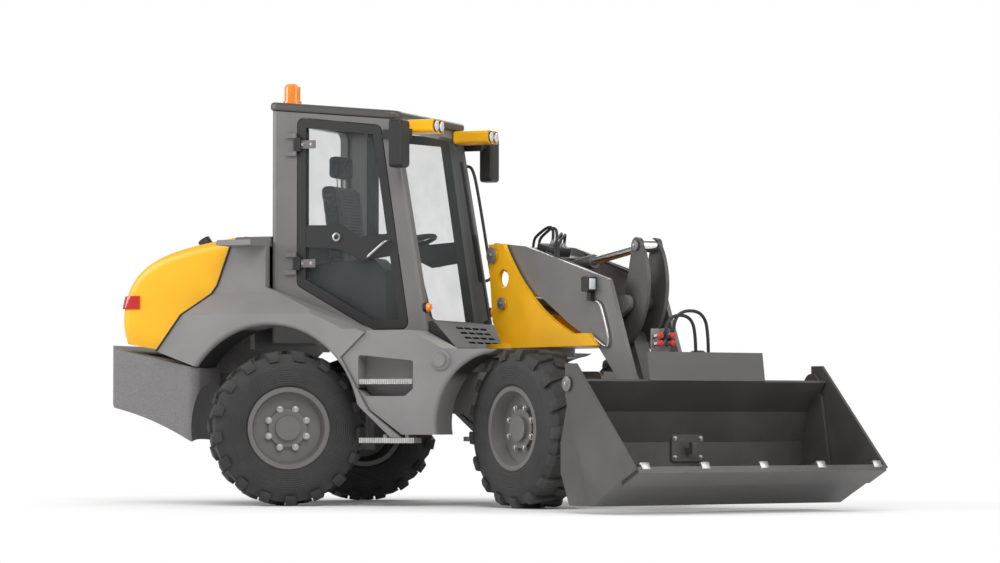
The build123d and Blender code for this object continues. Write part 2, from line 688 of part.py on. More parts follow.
def hood_outline():
    """Back and top of the hood, from the counterweight up to the hinge."""
    low = WEIGHT_TOP_REAR + HOOD_GAP
    return [(HOOD_REAR_X + HOOD_GAP, low), (HOOD_REAR_X - HOOD_BULGE, low + HOOD_SHOULDER * 0.5),
            (HOOD_REAR_X + HOOD_SHOULDER * 0.16, low + HOOD_SHOULDER), (HOOD_CREST_X, HOOD_TOP - HOOD_FALL),
            (HOOD_FRONT_X, HOOD_TOP)]


def hood_seam():
    """Line between the hood and the grey side panels, from the hinge down to the counterweight."""
    return [(HOOD_FRONT_X, HOOD_TOP - HOOD_WALL), (SEAM_KNEE_X, SEAM_KNEE_Z), (SEAM_FOOT_X, SEAM_FOOT_Z)]


def hood_face():
    """Side view of the hood: a smooth back and top, cut off along the seam."""
    with BuildSketch() as side:
        with BuildLine():
            crown = Spline(*hood_outline())
            Polyline(crown @ 1, *hood_seam(), crown @ 0)
        make_face()
    return side.sketch


def hood_block():
    """The hood as a full block with rounded back corners and top edges."""
    block = side_solid(hood_face(), -HOOD_HALF, HOOD_HALF)
    sides = block.edges().group_by(Axis.Y)[0] + block.edges().group_by(Axis.Y)[-1]
    return fillet(sides.sort_by(SortBy.LENGTH)[-2:], HOOD_ROUND)


def hood():
    """Engine hood: a rounded shell over the back and top, open below, hinged at its front edge."""
    shell = hood_block() - side_solid(hood_room(), -HOOD_HALF + HOOD_WALL, HOOD_HALF - HOOD_WALL)
    return shell + hood_hinges(0)


def hood_hinges(grow):
    """Two barrels on the hood's hinge axis, grown on all sides to cut the room for them."""
    half = HOOD_HINGE_LENGTH / 2 + grow
    axis = (HOOD_FRONT_X, HOOD_TOP)
    radius = HOOD_HINGE_RADIUS + grow
    return [pin_across(axis, radius, y - half, y + half) for y in (HOOD_HINGE_Y, -HOOD_HINGE_Y)]


def hood_room():
    """Side view of the space under the hood: inside its wall, and open below and in front."""
    crown = hood_outline()
    wall = bent_outline(crown, -HOOD_WALL)[len(crown):]
    beyond = HOOD_FRONT_X + HOOD_WALL
    with BuildSketch() as side:
        with BuildLine():
            lining = Spline(*wall)
            Polyline(lining @ 1, ((lining @ 1).X, RAIL_TOP), (beyond, RAIL_TOP), (beyond, (lining @ 0).Y),
                     lining @ 0)
        make_face()
    return side.sketch


def exhaust_stub():
    """Short exhaust outlet that stands on the hood."""
    pipe = Rot(0, -EXHAUST_LEAN, 0) * Cylinder(EXHAUST_RADIUS, EXHAUST_LENGTH)
    pipe -= Rot(0, -EXHAUST_LEAN, 0) * Cylinder(EXHAUST_RADIUS - EXHAUST_WALL, EXHAUST_LENGTH)
    return Pos(EXHAUST_X, EXHAUST_Y, EXHAUST_Z) * pipe - Pos(0, 0, RUN_GAP) * hood_block()


def engine():
    return box_between(ENGINE_X - ENGINE_LENGTH / 2, ENGINE_X + ENGINE_LENGTH / 2, -ENGINE_WIDTH / 2,
                       ENGINE_WIDTH / 2, RAIL_TOP + RUN_GAP, RAIL_TOP + RUN_GAP + ENGINE_HEIGHT)


def rear_cover():
    """Bulkhead between cab and engine, with the shelf that the hood is hinged on."""
    rear = HOOD_FRONT_X + HOOD_GAP + RUN_GAP
    front = CAB_REAR_X - RUN_GAP
    wall_x = ENGINE_X + ENGINE_LENGTH / 2 + HOOD_GAP
    cover = box_between(rear, front, -CAB_Y, CAB_Y, HOOD_TOP - HOOD_WALL * 2, HOOD_TOP)
    cover += box_between(wall_x, wall_x + HOOD_WALL, -CAB_Y, CAB_Y, RAIL_TOP + RUN_GAP, HOOD_TOP - HOOD_WALL)
    for room in wheel_sweeps()[2:] + hood_hinges(RUN_GAP):
        cover -= room
    return cover


def rear_fender():
    """Rear side panel with its wheel arch, right side."""
    seam = hood_seam()
    gap = HOOD_GAP
    with BuildSketch() as side:
        with BuildLine():
            start = (SEAM_FOOT_X + gap, SEAM_FOOT_Z)
            skin = Polyline(start, (SEAM_KNEE_X + gap, SEAM_KNEE_Z), (HOOD_FRONT_X + gap, seam[0][1]),
                            (CAB_REAR_X - gap, seam[0][1]), (CAB_REAR_X - gap, BELT_REAR_Z),
                            (FENDER_FRONT_X, BELT_FRONT_Z), (FENDER_NOTCH_X, FENDER_NOTCH_Z),
                            (FENDER_SHIN_X, FENDER_SHIN_Z), (FENDER_TOE_X, FENDER_TOE_Z),
                            (FENDER_TOE_X - FENDER_FLARE, FENDER_TOE_Z), (ARCH_FRONT_X, ARCH_FRONT_Z))
            arch = ThreePointArc(skin @ 1, (ARCH_TOP_X, ARCH_TOP_Z), (WEIGHT_FRONT_X, WEIGHT_TOP_FRONT + gap))
            Line(arch @ 1, start)
        make_face()
    panel = side_solid(side.sketch, -BODY_Y, -CAB_Y - RUN_GAP)
    panel = fillet(panel.edges().group_by(Axis.Y)[0].filter_by(GeomType.CIRCLE), ARCH_ROUND) - body_shoulder()
    for sweep in wheel_sweeps()[2:]:
        panel -= sweep
    return panel - door_sweep()


def door_sweep():
    """Room above the right side panels that the swinging door's lower edge passes through."""
    x, y = door_hinge()
    low_front = DOOR_LOW_FRONT - DOOR_GAP
    low_rear = DOOR_LOW_REAR - DOOR_GAP
    reach = DOOR_FRONT_LOW_X - x + DOOR_GAP
    section = [(0, low_rear), (DOOR_REAR_X - x, low_rear), (DOOR_LOW_REAR_X - x, low_front),
               (reach, low_front),
               (reach, DOOR_TOP_REAR), (0, DOOR_TOP_REAR)]
    fan = revolve(Plane.XZ * profile(section), Axis.Z, revolution_arc=DOOR_SWING)
    return Pos(x, y, 0) * Rot(0, 0, -DOOR_SWING) * fan


def body_shoulder():
    """What the body's right side falls short of: it leans in above the wheel arches."""
    beyond = BODY_Y * 2
    outline = [(-BODY_Y, SHOULDER_Z), (-SHOULDER_Y, SHOULDER_TOP), (-SHOULDER_Y, beyond),
               (-beyond, beyond), (-beyond, SHOULDER_Z)]
    return Pos(TAIL_X, 0, 0) * extrude(Plane.YZ * profile(outline), WHEELBASE * 2)


def side_panel():
    """Panel between the wheels, right side: fuel tank, step recess and front wheel arch in one moulding."""
    seam = PANEL_SEAM
    with BuildSketch() as side:
        with BuildLine():
            skin = Polyline((PANEL_LIP_X, PANEL_LIP_Z), (PANEL_LIP_X, PANEL_NOSE_Z),
                            (PANEL_BROW_X, PANEL_BROW_Z), (CAB_FRONT_X, PANEL_TOP_Z),
                            (FENDER_FRONT_X + seam, PANEL_TOP_Z),
                            (FENDER_FRONT_X + seam, BELT_FRONT_Z), (FENDER_NOTCH_X + seam, FENDER_NOTCH_Z),
                            (FENDER_SHIN_X + seam, FENDER_SHIN_Z + seam), (FENDER_TOE_X + seam, PANEL_SILL_Z),
                            (PANEL_FOOT_X, PANEL_SILL_Z))
            ThreePointArc(skin @ 1, (PANEL_ARCH_X, PANEL_ARCH_Z), skin @ 0)
        make_face()
    panel = side_solid(side.sketch, -PANEL_Y, -PANEL_INNER_Y - RUN_GAP)
    panel = fillet(panel.edges().group_by(Axis.Y)[0].filter_by(GeomType.CIRCLE), ARCH_ROUND)
    for sweep in wheel_sweeps():
        panel -= sweep
    return panel - side_solid(step_recess(), -PANEL_Y, -PANEL_Y + RECESS_DEPTH)


def step_recess():
    """Side view of the recess round the upper step, narrower at its foot."""
    rear = UPPER_STEP_X - RECESS_HALF
    front = UPPER_STEP_X + RECESS_HALF
    taper = RECESS_HALF * 0.3
    low = UPPER_STEP_Z - RECESS_DROP
    knee = UPPER_STEP_Z - RECESS_DROP * 0.4
    outline = [(rear, knee), (rear, RECESS_TOP), (front, RECESS_TOP - RECESS_DROP * 0.5), (front, knee),
               (front - taper, low), (rear + taper, low)]
    return profile(outline, RECESS_ROUND)


def fuel_cap():
    """Filler cap in its raised collar, on the right side panel."""
    x, z = FUEL_CAP
    collar = pin_across((x, z), FUEL_COLLAR_RADIUS, -PANEL_Y - FUEL_COLLAR, -PANEL_Y + FUEL_COLLAR)
    cap = pin_across((x, z), FUEL_CAP_RADIUS, -PANEL_Y - FUEL_COLLAR - FUEL_CAP_HEIGHT, -PANEL_Y)
    return chamfer(collar.edges().group_by(Axis.Y)[0], FUEL_COLLAR * 0.6) + cap


def steps():
    """Two treads on each side: one in the panel's recess, one hung below the panel."""
    treads = []
    half = STEP_LENGTH / 2
    upper = box_between(UPPER_STEP_X - half + PANEL_SEAM, UPPER_STEP_X + half - PANEL_SEAM, -PANEL_Y,
                        -PANEL_Y + RECESS_DEPTH - RUN_GAP, UPPER_STEP_Z, UPPER_STEP_Z + STEP_HEIGHT)
    lower = box_between(LOWER_STEP_X - half, LOWER_STEP_X + half, -LOWER_STEP_Y, -LOWER_STEP_Y + STEP_DEPTH,
                        LOWER_STEP_Z, LOWER_STEP_Z + STEP_HEIGHT)
    for hanger in (-1, 1):
        x = LOWER_STEP_X + STEP_HANGER_X + hanger * STEP_LENGTH * 0.2
        lower += box_between(x - STEP_HANGER, x + STEP_HANGER, -LOWER_STEP_Y + STEP_DEPTH - STEP_HANGER,
                             -LOWER_STEP_Y + STEP_DEPTH, LOWER_STEP_Z, PANEL_SILL_Z - RUN_GAP)
    for tread in (upper, lower):
        treads += [tread, mirrored(tread)]
    return Compound(treads)


def deck():
    """Deck plate on the rails, with the pedestal that the cab stands on."""
    low = RAIL_TOP + RUN_GAP
    plate = box_between(-DECK_X, DECK_FRONT_X, -DECK_Y, DECK_Y, low, low + DECK_THICKNESS)
    plate += box_between(-DECK_X, CAB_FRONT_X, -CAB_PEDESTAL_Y, CAB_PEDESTAL_Y, low, CAB_SEAT_Z)
    for sweep in wheel_sweeps():
        plate -= sweep
    return plate


def cowl():
    """Louvred cover between the cab's foot and the slewing ring."""
    low = RAIL_TOP + DECK_THICKNESS + RUN_GAP * 2
    back = CAB_FRONT_X + PANEL_SEAM
    outline = [(back, low), (back, COWL_TOP), (back + COWL_LEDGE, COWL_TOP), (COWL_FRONT_X, COWL_FRONT_Z),
               (COWL_FRONT_X, low)]
    cover = side_solid(profile(outline), -COWL_Y, COWL_Y)
    slope = math.degrees(math.atan2(COWL_TOP - COWL_FRONT_Z, COWL_FRONT_X - back - COWL_LEDGE))
    middle = ((back + COWL_LEDGE + COWL_FRONT_X) / 2, (COWL_TOP + COWL_FRONT_Z) / 2)
    for row in range(LOUVRE_ROWS):
        away = (row - (LOUVRE_ROWS - 1) / 2) * LOUVRE_PITCH
        for column in range(LOUVRE_COLUMNS):
            y = (column - (LOUVRE_COLUMNS - 1) / 2) * (LOUVRE_LENGTH + LOUVRE_BRIDGE)
            slot = Rot(0, slope, 0) * (Pos(away, y, 0) * Box(LOUVRE_WIDTH, LOUVRE_LENGTH, LOUVRE_DEPTH * 2))
            cover -= Pos(middle[0], 0, middle[1]) * slot
    return cover


def cab_outline(inset):
    """Side view of the cab, drawn in by an inset from its outer skin."""
    lean = (CAB_FRONT_X - CAB_HEADER_X) / (CAB_TOP_FRONT - CAB_KNEE_Z)
    screen_x = CAB_FRONT_X - inset * math.hypot(1, lean)
    floor = CAB_SEAT_Z + RUN_GAP + inset
    top = CAB_TOP_FRONT - inset
    return [(CAB_REAR_X + inset, floor), (CAB_REAR_X + inset, CAB_TOP_REAR - inset),
            (screen_x - lean * (top - CAB_KNEE_Z), top), (screen_x, CAB_KNEE_Z), (screen_x, floor)]


def door_outline(grow):
    """Side view of the door leaf, grown or drawn in on all sides."""
    points = [(DOOR_REAR_X, DOOR_LOW_REAR), (DOOR_REAR_X, DOOR_TOP_REAR), (DOOR_FRONT_TOP_X, DOOR_TOP_FRONT),
              (DOOR_FRONT_LOW_X, DOOR_LOW_FRONT), (DOOR_LOW_REAR_X, DOOR_LOW_FRONT)]
    return offset(profile(points, DOOR_ROUND), grow)


def screen_plane():
    """Plane on the windscreen's outer face: local x across the machine, local y up the screen."""
    lean = (CAB_HEADER_X - CAB_FRONT_X, 0, CAB_TOP_FRONT - CAB_KNEE_Z)
    out = (lean[2], 0, -lean[0])
    return Plane(origin=(CAB_FRONT_X, 0, CAB_KNEE_Z), x_dir=(0, 1, 0), z_dir=out)


def screen_outline(inset):
    length = math.hypot(CAB_HEADER_X - CAB_FRONT_X, CAB_TOP_FRONT - CAB_KNEE_Z)
    height = length - 2 * SCREEN_MARGIN - 2 * inset
    width = 2 * (CAB_Y - PILLAR - inset)
    return Pos(0, length / 2) * RectangleRounded(width, height, SCREEN_ROUND)


def rear_outline(inset):
    height = CAB_TOP_REAR - REAR_WINDOW_Z - PILLAR - 2 * inset
    width = 2 * (CAB_Y - PILLAR - inset)
    return Pos(0, REAR_WINDOW_Z + inset + height / 2) * RectangleRounded(width, height, SCREEN_ROUND)


def rear_plane():
    return Plane(origin=(CAB_REAR_X, 0, 0), x_dir=(0, -1, 0), z_dir=(-1, 0, 0))


def cab_frame():
    """Cab shell with its floor and pillars; door, windscreen and rear openings are cut through."""
    block = side_solid(profile(cab_outline(0)), -CAB_Y, CAB_Y)
    corners = block.edges().group_by(Axis.Y)[0] + block.edges().group_by(Axis.Y)[-1]
    upright = [edge for edge in corners if abs(edge.tangent_at(0).Z) > abs(edge.tangent_at(0).X)]
    shell = fillet(upright, CAB_ROUND)
    shell -= side_solid(profile(cab_outline(CAB_WALL)), -CAB_Y + CAB_WALL, CAB_Y - CAB_WALL)
    shell -= side_solid(door_outline(DOOR_GAP), -CAB_Y, CAB_Y)
    shell -= extrude(screen_plane() * screen_outline(0), -CAB_WALL * 2)
    shell -= extrude(rear_plane() * rear_outline(0), -CAB_WALL * 2)
    hatch = [(CAB_REAR_X + PILLAR, CAB_Y - PILLAR), (CAB_HEADER_X - PILLAR, CAB_Y - PILLAR),
             (CAB_HEADER_X - PILLAR, -CAB_Y + PILLAR), (CAB_REAR_X + PILLAR, -CAB_Y + PILLAR)]
    shell -= plan_solid(profile(hatch), CAB_TOP_FRONT - CAB_WALL * 2, CAB_TOP_REAR)
    return shell


def roof_seat(x):
    """Height of the cab's top ring at a place along the machine."""
    fall = (CAB_TOP_FRONT - CAB_TOP_REAR) / (CAB_HEADER_X - CAB_REAR_X)
    return CAB_TOP_REAR + fall * (x - CAB_REAR_X)


def cab_roof():
    """Roof cap on the cab's top ring, falling towards the windscreen, with rounded corners."""
    rear = CAB_REAR_X - ROOF_LIP
    front = CAB_HEADER_X + ROOF_LIP
    outline = [(rear, roof_seat(rear) + RUN_GAP), (rear, roof_seat(rear) + ROOF_THICKNESS),
               (front, roof_seat(front) + ROOF_THICKNESS), (front, roof_seat(front) + RUN_GAP)]
    cap = side_solid(profile(outline), -CAB_Y, CAB_Y)
    cap = fillet(cap.edges().filter_by(Axis.Z), ROOF_CORNER)
    return fillet(cap.faces().sort_by(Axis.Z)[-1].edges(), ROOF_EDGE)


def windscreen():
    return extrude(screen_plane() * screen_outline(GLASS_GAP), -GLASS)


def rear_window():
    return extrude(rear_plane() * rear_outline(GLASS_GAP), -GLASS)


def door_right():
    """Door leaf with its window cut and two hinge knuckles behind its rear edge."""
    outer = -CAB_Y
    leaf = side_solid(door_outline(0), outer, outer + DOOR_LEAF)
    leaf -= side_solid(door_outline(-DOOR_FRAME), outer, outer + DOOR_LEAF)
    axis = door_hinge()
    for z in HINGE_LEVELS:
        low = z - HINGE_HEIGHT / 2
        top = z + HINGE_HEIGHT / 2
        leaf += box_between(DOOR_REAR_X - DOOR_GAP * 0.5, DOOR_REAR_X + DOOR_FRAME * 0.5,
                            axis[1] - HINGE_RADIUS * 0.5, outer, low, top)
        leaf += post(axis[0], axis[1], HINGE_RADIUS, low, top)
    return leaf


def door_hinge():
    """Upright hinge axis of the right door, as (X, Y)."""
    return (DOOR_REAR_X - HINGE_BACK, -CAB_Y - HINGE_OUT)


def door_hinges():
    """Hinge brackets on the rear pillars, above and below each door's knuckles."""
    brackets = []
    x, y = door_hinge()
    for z in HINGE_LEVELS:
        for side in (1, -1):
            middle = z + side * (HINGE_HEIGHT + HINGE_LUG + 2 * RUN_GAP) / 2
            lug = post(x, y, HINGE_RADIUS, middle - HINGE_LUG / 2, middle + HINGE_LUG / 2)
            lug += box_between(x - HINGE_ARM, x, y - HINGE_RADIUS * 0.5, -CAB_Y - RUN_GAP,
                               middle - HINGE_LUG / 2, middle + HINGE_LUG / 2)
            brackets += [lug, mirrored(lug)]
    return Compound(brackets)


def door_glass_right():
    middle = -CAB_Y + DOOR_LEAF / 2
    return side_solid(door_outline(-DOOR_FRAME - GLASS_GAP), middle - GLASS / 2, middle + GLASS / 2)


def cab_floor():
    """Height of the cab's inner floor, with the gap that a piece standing on it keeps."""
    return CAB_SEAT_Z + RUN_GAP + CAB_WALL + RUN_GAP


def seat_box(length, width, z_from, z_to):
    """A block about the seat's middle."""
    return box_between(SEAT_X - length / 2, SEAT_X + length / 2, -width / 2, width / 2, z_from, z_to)


def seat_base():
    """Suspension pedestal under the driver's seat, on the cab floor."""
    low = cab_floor()
    pan_low = low + SEAT_HEIGHT - SEAT_PAN
    foot = seat_box(SEAT_FOOT_LENGTH, SEAT_FOOT_WIDTH, low, low + SEAT_FOOT)
    bellows = seat_box(BELLOWS_LENGTH, BELLOWS_WIDTH, low + SEAT_FOOT, pan_low)
    for index in range(BELLOWS_FOLDS):
        z = low + SEAT_FOOT + (index + 0.5) * (pan_low - low - SEAT_FOOT) / BELLOWS_FOLDS
        bellows += seat_box(BELLOWS_LENGTH + BELLOWS_DEPTH, BELLOWS_WIDTH + BELLOWS_DEPTH,
                            z - BELLOWS_DEPTH / 2, z + BELLOWS_DEPTH / 2)
    return foot + bellows + seat_box(CUSHION_LENGTH, CUSHION_WIDTH, pan_low, low + SEAT_HEIGHT)


def seat_cushion():
    low = cab_floor() + SEAT_HEIGHT + RUN_GAP
    pad = seat_box(CUSHION_LENGTH, CUSHION_WIDTH, low, low + CUSHION)
    return fillet(pad.edges().filter_by(Axis.Z), CUSHION_ROUND)


def seat_back():
    """Backrest on the rear of the cushion, leaning back."""
    low = cab_floor() + SEAT_HEIGHT + RUN_GAP * 2 + CUSHION
    rear = SEAT_X - CUSHION_LENGTH / 2
    front = rear + BACKREST_THICKNESS
    top = low + BACKREST
    outline = [(rear, low), (front, low), (front - BACKREST_LEAN, top), (rear - BACKREST_LEAN, top)]
    return side_solid(profile(outline, BACKREST_ROUND), -BACKREST_WIDTH / 2, BACKREST_WIDTH / 2)


def steering_column():
    """Column with the steering wheel on top, standing on the cab floor in front of the seat."""
    low = cab_floor()
    base = (COLUMN_X, low)
    top = (COLUMN_X - COLUMN_LEAN, low + COLUMN_HEIGHT)
    half = COLUMN_FOOT / 2
    foot = box_between(COLUMN_X - half, COLUMN_X + half, -half, half, low, low + COLUMN_RADIUS * 2)
    stem = bar_between(base, top, COLUMN_RADIUS, 0, math.dist(base, top))
    stem -= box_between(COLUMN_X - COLUMN_FOOT, COLUMN_X + COLUMN_FOOT, -half, half, low - COLUMN_FOOT, low)
    grip = Plane.XZ * (Pos(STEERING_RADIUS, 0) * RegularPolygon(STEERING_RIM, STEERING_SIDES))
    wheel = revolve(grip, Axis.Z)
    for turn in range(STEERING_SPOKES):
        spoke = Pos(STEERING_RADIUS / 2, 0, 0) * Box(STEERING_RADIUS, STEERING_RIM * 2, STEERING_RIM)
        wheel += Rot(0, 0, turn * 360 / STEERING_SPOKES) * spoke
    leaning = Plane(origin=(top[0], 0, top[1]), z_dir=(top[0] - base[0], 0, top[1] - base[1]))
    return foot + stem + leaning * wheel


def console():
    """Control console at the driver's right hand, on the cab floor."""
    low = cab_floor()
    rear = SEAT_X - CONSOLE_LENGTH / 2
    front = SEAT_X + CONSOLE_LENGTH / 2
    outline = [(rear, low), (front, low), (front, low + CONSOLE_HEIGHT - CONSOLE_SLOPE),
               (front - CONSOLE_SLOPE, low + CONSOLE_HEIGHT),
               (rear, low + CONSOLE_HEIGHT - CONSOLE_SLOPE / 2)]
    outer = -CAB_Y + CAB_WALL + CONSOLE_ROUND
    return side_solid(profile(outline, CONSOLE_ROUND), outer, -CONSOLE_INNER_Y)


def work_lamps():
    """Lamp pods under the roof's front edge, one at each corner."""
    plane = screen_plane()
    pods = []
    for side in (1, -1):
        pod = box_between(LAMP_X - LAMP_DEPTH / 2, LAMP_X + LAMP_DEPTH / 2, side * LAMP_Y - LAMP_WIDTH / 2,
                          side * LAMP_Y + LAMP_WIDTH / 2, LAMP_Z - LAMP_HEIGHT / 2, LAMP_Z + LAMP_HEIGHT / 2)
        pod = fillet(pod.edges().filter_by(Axis.X), LAMP_HEIGHT * 0.25)
        behind = extrude(plane * Rectangle(CAB_Y * 4, CAB_TOP_REAR * 2), -CAB_TOP_REAR)
        pods.append(pod - Pos(RUN_GAP * 2, 0, 0) * behind)
    return Compound(pods)


def beacon():
    """Rotating beacon on a short stand on the roof's rear corner."""
    base = roof_seat(BEACON_X) + ROOF_THICKNESS
    neck = base + BEACON_STAND
    stand = post(BEACON_X, BEACON_Y, BEACON_RADIUS + BEACON_FLANGE, base - ROOF_THICKNESS / 2, neck)
    dome = post(BEACON_X, BEACON_Y, BEACON_RADIUS, neck, base + BEACON_HEIGHT)
    dome = chamfer(dome.edges().group_by(Axis.Z)[-1], BEACON_RADIUS * 0.3)
    return stand + dome - Pos(0, 0, RUN_GAP) * cab_roof()


def mirrors():
    """Mirror heads on arms from the front pillars."""
    head = Pos(MIRROR_X, -MIRROR_Y, MIRROR_Z) * Box(MIRROR_DEPTH, MIRROR_WIDTH, MIRROR_HEIGHT)
    head = fillet(head.edges().filter_by(Axis.X), MIRROR_ROUND)
    head = fillet(head.faces().sort_by(Axis.X)[-1].edges(), MIRROR_ROUND * 0.6)
    arm_z = MIRROR_Z + MIRROR_HEIGHT / 4
    wall = -CAB_Y - RUN_GAP
    arm = pin_across((MIRROR_X, arm_z), MIRROR_ARM, -MIRROR_Y, wall)
    foot = box_between(MIRROR_FOOT_X, MIRROR_X + MIRROR_ARM, wall - MIRROR_ARM * 2, wall,
                       arm_z - MIRROR_FOOT / 2, arm_z + MIRROR_FOOT / 2)
    right = head + arm + foot
    return Compound([right, mirrored(right)])


def tail_lamps():
    """Rear light clusters that wrap round the hood's back corners, standing a little proud."""
    block = hood_block()
    lamps = []
    for side in (1, -1):
        inner, outer = sorted((side * (HOOD_HALF - TAIL_LAMP_WIDTH), side * HOOD_HALF * 2))
        window = box_between(TAIL_LAMP_X - TAIL_LAMP_LENGTH, TAIL_LAMP_X, inner, outer,
                             TAIL_LAMP_Z - TAIL_LAMP_HEIGHT / 2, TAIL_LAMP_Z + TAIL_LAMP_HEIGHT / 2)
        proud = Pos(-TAIL_LAMP_DEPTH, side * TAIL_LAMP_DEPTH, 0) * block
        lamps.append((proud & window) - Pos(-RUN_GAP, side * RUN_GAP, 0) * block)
    return Compound([lamp.solids()[0] for lamp in lamps])


def tower_plate_outline():
    """Side plate of the slewing tower: high at the boom pivot, long and low in front."""
    low = SLEW_RING_TOP + RUN_GAP
    with BuildSketch() as plate:
        with BuildLine():
            Polyline((TOWER_FOOT_S, low), (TOWER_HEEL_S, TOWER_HEEL_Z), (TOWER_REAR_S, BOOM_PIVOT[1]),
                     (TOWER_REAR_S, TOWER_TOP), (TOWER_BROW_S, TOWER_TOP))
            sweep = Spline((TOWER_BROW_S, TOWER_TOP), (TOWER_WAIST_S, TOWER_WAIST_Z),
                           (TOWER_KNEE_S, TOWER_KNEE_Z))
            Polyline(sweep @ 1, (TOWER_TOE_S - TOWER_TOE_RISE, TOWER_KNEE_Z), (TOWER_TOE_S, low),
                     (TOWER_FOOT_S, low))
        make_face()
    return plate.sketch


def tower():
    """Slewing tower: turntable disc, two side plates, back plate and the pins it carries."""
    low = SLEW_RING_TOP + RUN_GAP
    inner = TOWER_Y - TOWER_PLATE
    body = post(0, 0, SLEW_RING_RADIUS, low, low + TOWER_PLATE)
    body += box_between(TOWER_FOOT_S, TOWER_FLOOR_S, -inner, inner, low, low + TOWER_PLATE)
    body += box_between(TOWER_REAR_S + TOWER_PLATE, TOWER_REAR_S + 2 * TOWER_PLATE, -inner, inner,
                        TOWER_HEEL_Z, TOWER_BACK_TOP)
    for y in (inner, -TOWER_Y):
        body += side_solid(tower_plate_outline(), y, y + TOWER_PLATE)
    body += pin_across(BOOM_PIVOT, BOOM_PIVOT_RADIUS, -TOWER_Y - PIN_HEAD, TOWER_Y + PIN_HEAD)
    body += pin_across(LIFT_BASE, LIFT_PIN_RADIUS, -TOWER_Y - PIN_HEAD, TOWER_Y + PIN_HEAD)
    body += box_between(TOWER_REAR_S - TOWER_BOX_DEPTH, TOWER_REAR_S + TOWER_PLATE * 2, -TOWER_BOX_Y,
                        TOWER_BOX_Y, TOWER_HEEL_Z + TOWER_PLATE, TOWER_BACK_TOP)
    window = pin_across((TOWER_WINDOW_S, TOWER_WINDOW_Z), TOWER_WINDOW_RADIUS, -TOWER_Y, TOWER_Y)
    return body - window


def boom_outline():
    """Side plate of the boom: straight back to the pivot, bent down in front to the nose."""
    nose = BOOM_NOSE
    points = [(BOOM_PIVOT[0] - BOOM_LOBE, BOOM_PIVOT[1] - BOOM_LOBE * 0.5),
              (BOOM_PIVOT[0] - BOOM_LOBE, BOOM_PIVOT[1] + BOOM_LOBE), (BOOM_BROW_S, BOOM_BROW_Z),
              (BOOM_BEND_S, BOOM_BEND_Z), (BOOM_SHIN_S, BOOM_SHIN_Z),
              (nose[0] + NOSE_LOBE, nose[1] + NOSE_LOBE), (nose[0] + NOSE_LOBE, nose[1] - NOSE_LOBE),
              (nose[0] - NOSE_LOBE, nose[1] - NOSE_LOBE),
              (BOOM_CALF_S, BOOM_CALF_Z), (BOOM_HOCK_S, BOOM_HOCK_Z), (BOOM_KNEE_S, BOOM_KNEE_Z),
              (LIFT_EYE[0] - BOOM_LOBE, LIFT_EYE[1] - BOOM_LOBE * 0.6),
              (BOOM_BELLY_S, BOOM_BELLY_Z), (BOOM_PIVOT[0] + BOOM_LOBE, BOOM_PIVOT[1] - BOOM_LOBE * 1.3)]
    return profile(points, BOOM_ROUND)


def boom():
    """Boom: two bent side plates joined by cross tubes, with brackets for the tilt lever."""
    inner = BOOM_Y - BOOM_PLATE
    arm = pin_across(BOOM_PIVOT, BOOM_PIVOT_RADIUS + BOOM_SLEEVE, -BOOM_Y, BOOM_Y)
    for y in (inner, -BOOM_Y):
        arm += side_solid(boom_outline(), y, y + BOOM_PLATE)
    bracket = arm_outline(CROSS_TUBE, CROSS_TUBE_RADIUS + BOOM_SLEEVE, LEVER_PIVOT,
                          LEVER_PIN_RADIUS + BOOM_SLEEVE)
    for side in (1, -1):
        near = side * (BRACKET_Y - BRACKET_PLATE)
        far = side * BRACKET_Y
        arm += side_solid(bracket, min(near, far), max(near, far))
        tube = sorted((near, side * BOOM_Y))
        arm += pin_across(CROSS_TUBE, CROSS_TUBE_RADIUS, *tube)
        sleeve = sorted((side * NOSE_PIN_INNER, side * BOOM_Y))
        arm += pin_across(BOOM_NOSE, NOSE_PIN_RADIUS + BOOM_SLEEVE, *sleeve)
        stub = sorted((side * (CYLINDER_EYE_HALF + EYE_GAP), side * inner))
        arm += pin_across(LIFT_EYE, LIFT_PIN_RADIUS, *stub)
    arm += pin_across(TILT_BASE, TILT_PIN_RADIUS, -BOOM_Y, BOOM_Y)
    arm += pin_across(LEVER_PIVOT, LEVER_PIN_RADIUS, -BRACKET_Y, BRACKET_Y)
    arm = bored(arm, BOOM_PIVOT, BOOM_PIVOT_RADIUS, BOOM_Y * 2)
    return bored(arm, BOOM_NOSE, NOSE_PIN_RADIUS, BOOM_Y * 2)


def boom_lamps():
    """Work lamps on brackets outside the boom's side plates."""
    s, z = BOOM_LAMP
    lamp = box_between(s - BOOM_LAMP_SIZE / 2, s + BOOM_LAMP_SIZE / 2, -BOOM_Y - BOOM_LAMP_REACH,
                       -BOOM_Y - BOOM_LAMP_FOOT, z - BOOM_LAMP_SIZE * 0.6, z + BOOM_LAMP_SIZE * 0.6)
    lamp = fillet(lamp.edges().filter_by(Axis.Y), BOOM_LAMP_SIZE * 0.2)
    bracket = box_between(s - BOOM_LAMP_SIZE / 4, s + BOOM_LAMP_SIZE / 4, -BOOM_Y - BOOM_LAMP_REACH * 0.5,
                          -BOOM_Y - RUN_GAP, z - BOOM_LAMP_SIZE * 1.3, z)
    lamp += bracket
    return Compound([lamp, mirrored(lamp)])


def cylinder_barrel(base, eye, radius, eye_radius, pin_radius, rod_radius, length, bore_from):
    """Barrel of a hydraulic cylinder, with the eye that turns on its base pin."""
    body = bar_between(base, eye, radius, eye_radius * 0.5, length)
    body += pin_across(base, eye_radius, -CYLINDER_EYE_HALF, CYLINDER_EYE_HALF)
    body -= bar_between(base, eye, rod_radius + PIN_GAP, bore_from, length * 2)
    return bored(body, base, pin_radius, CYLINDER_EYE_HALF * 2)


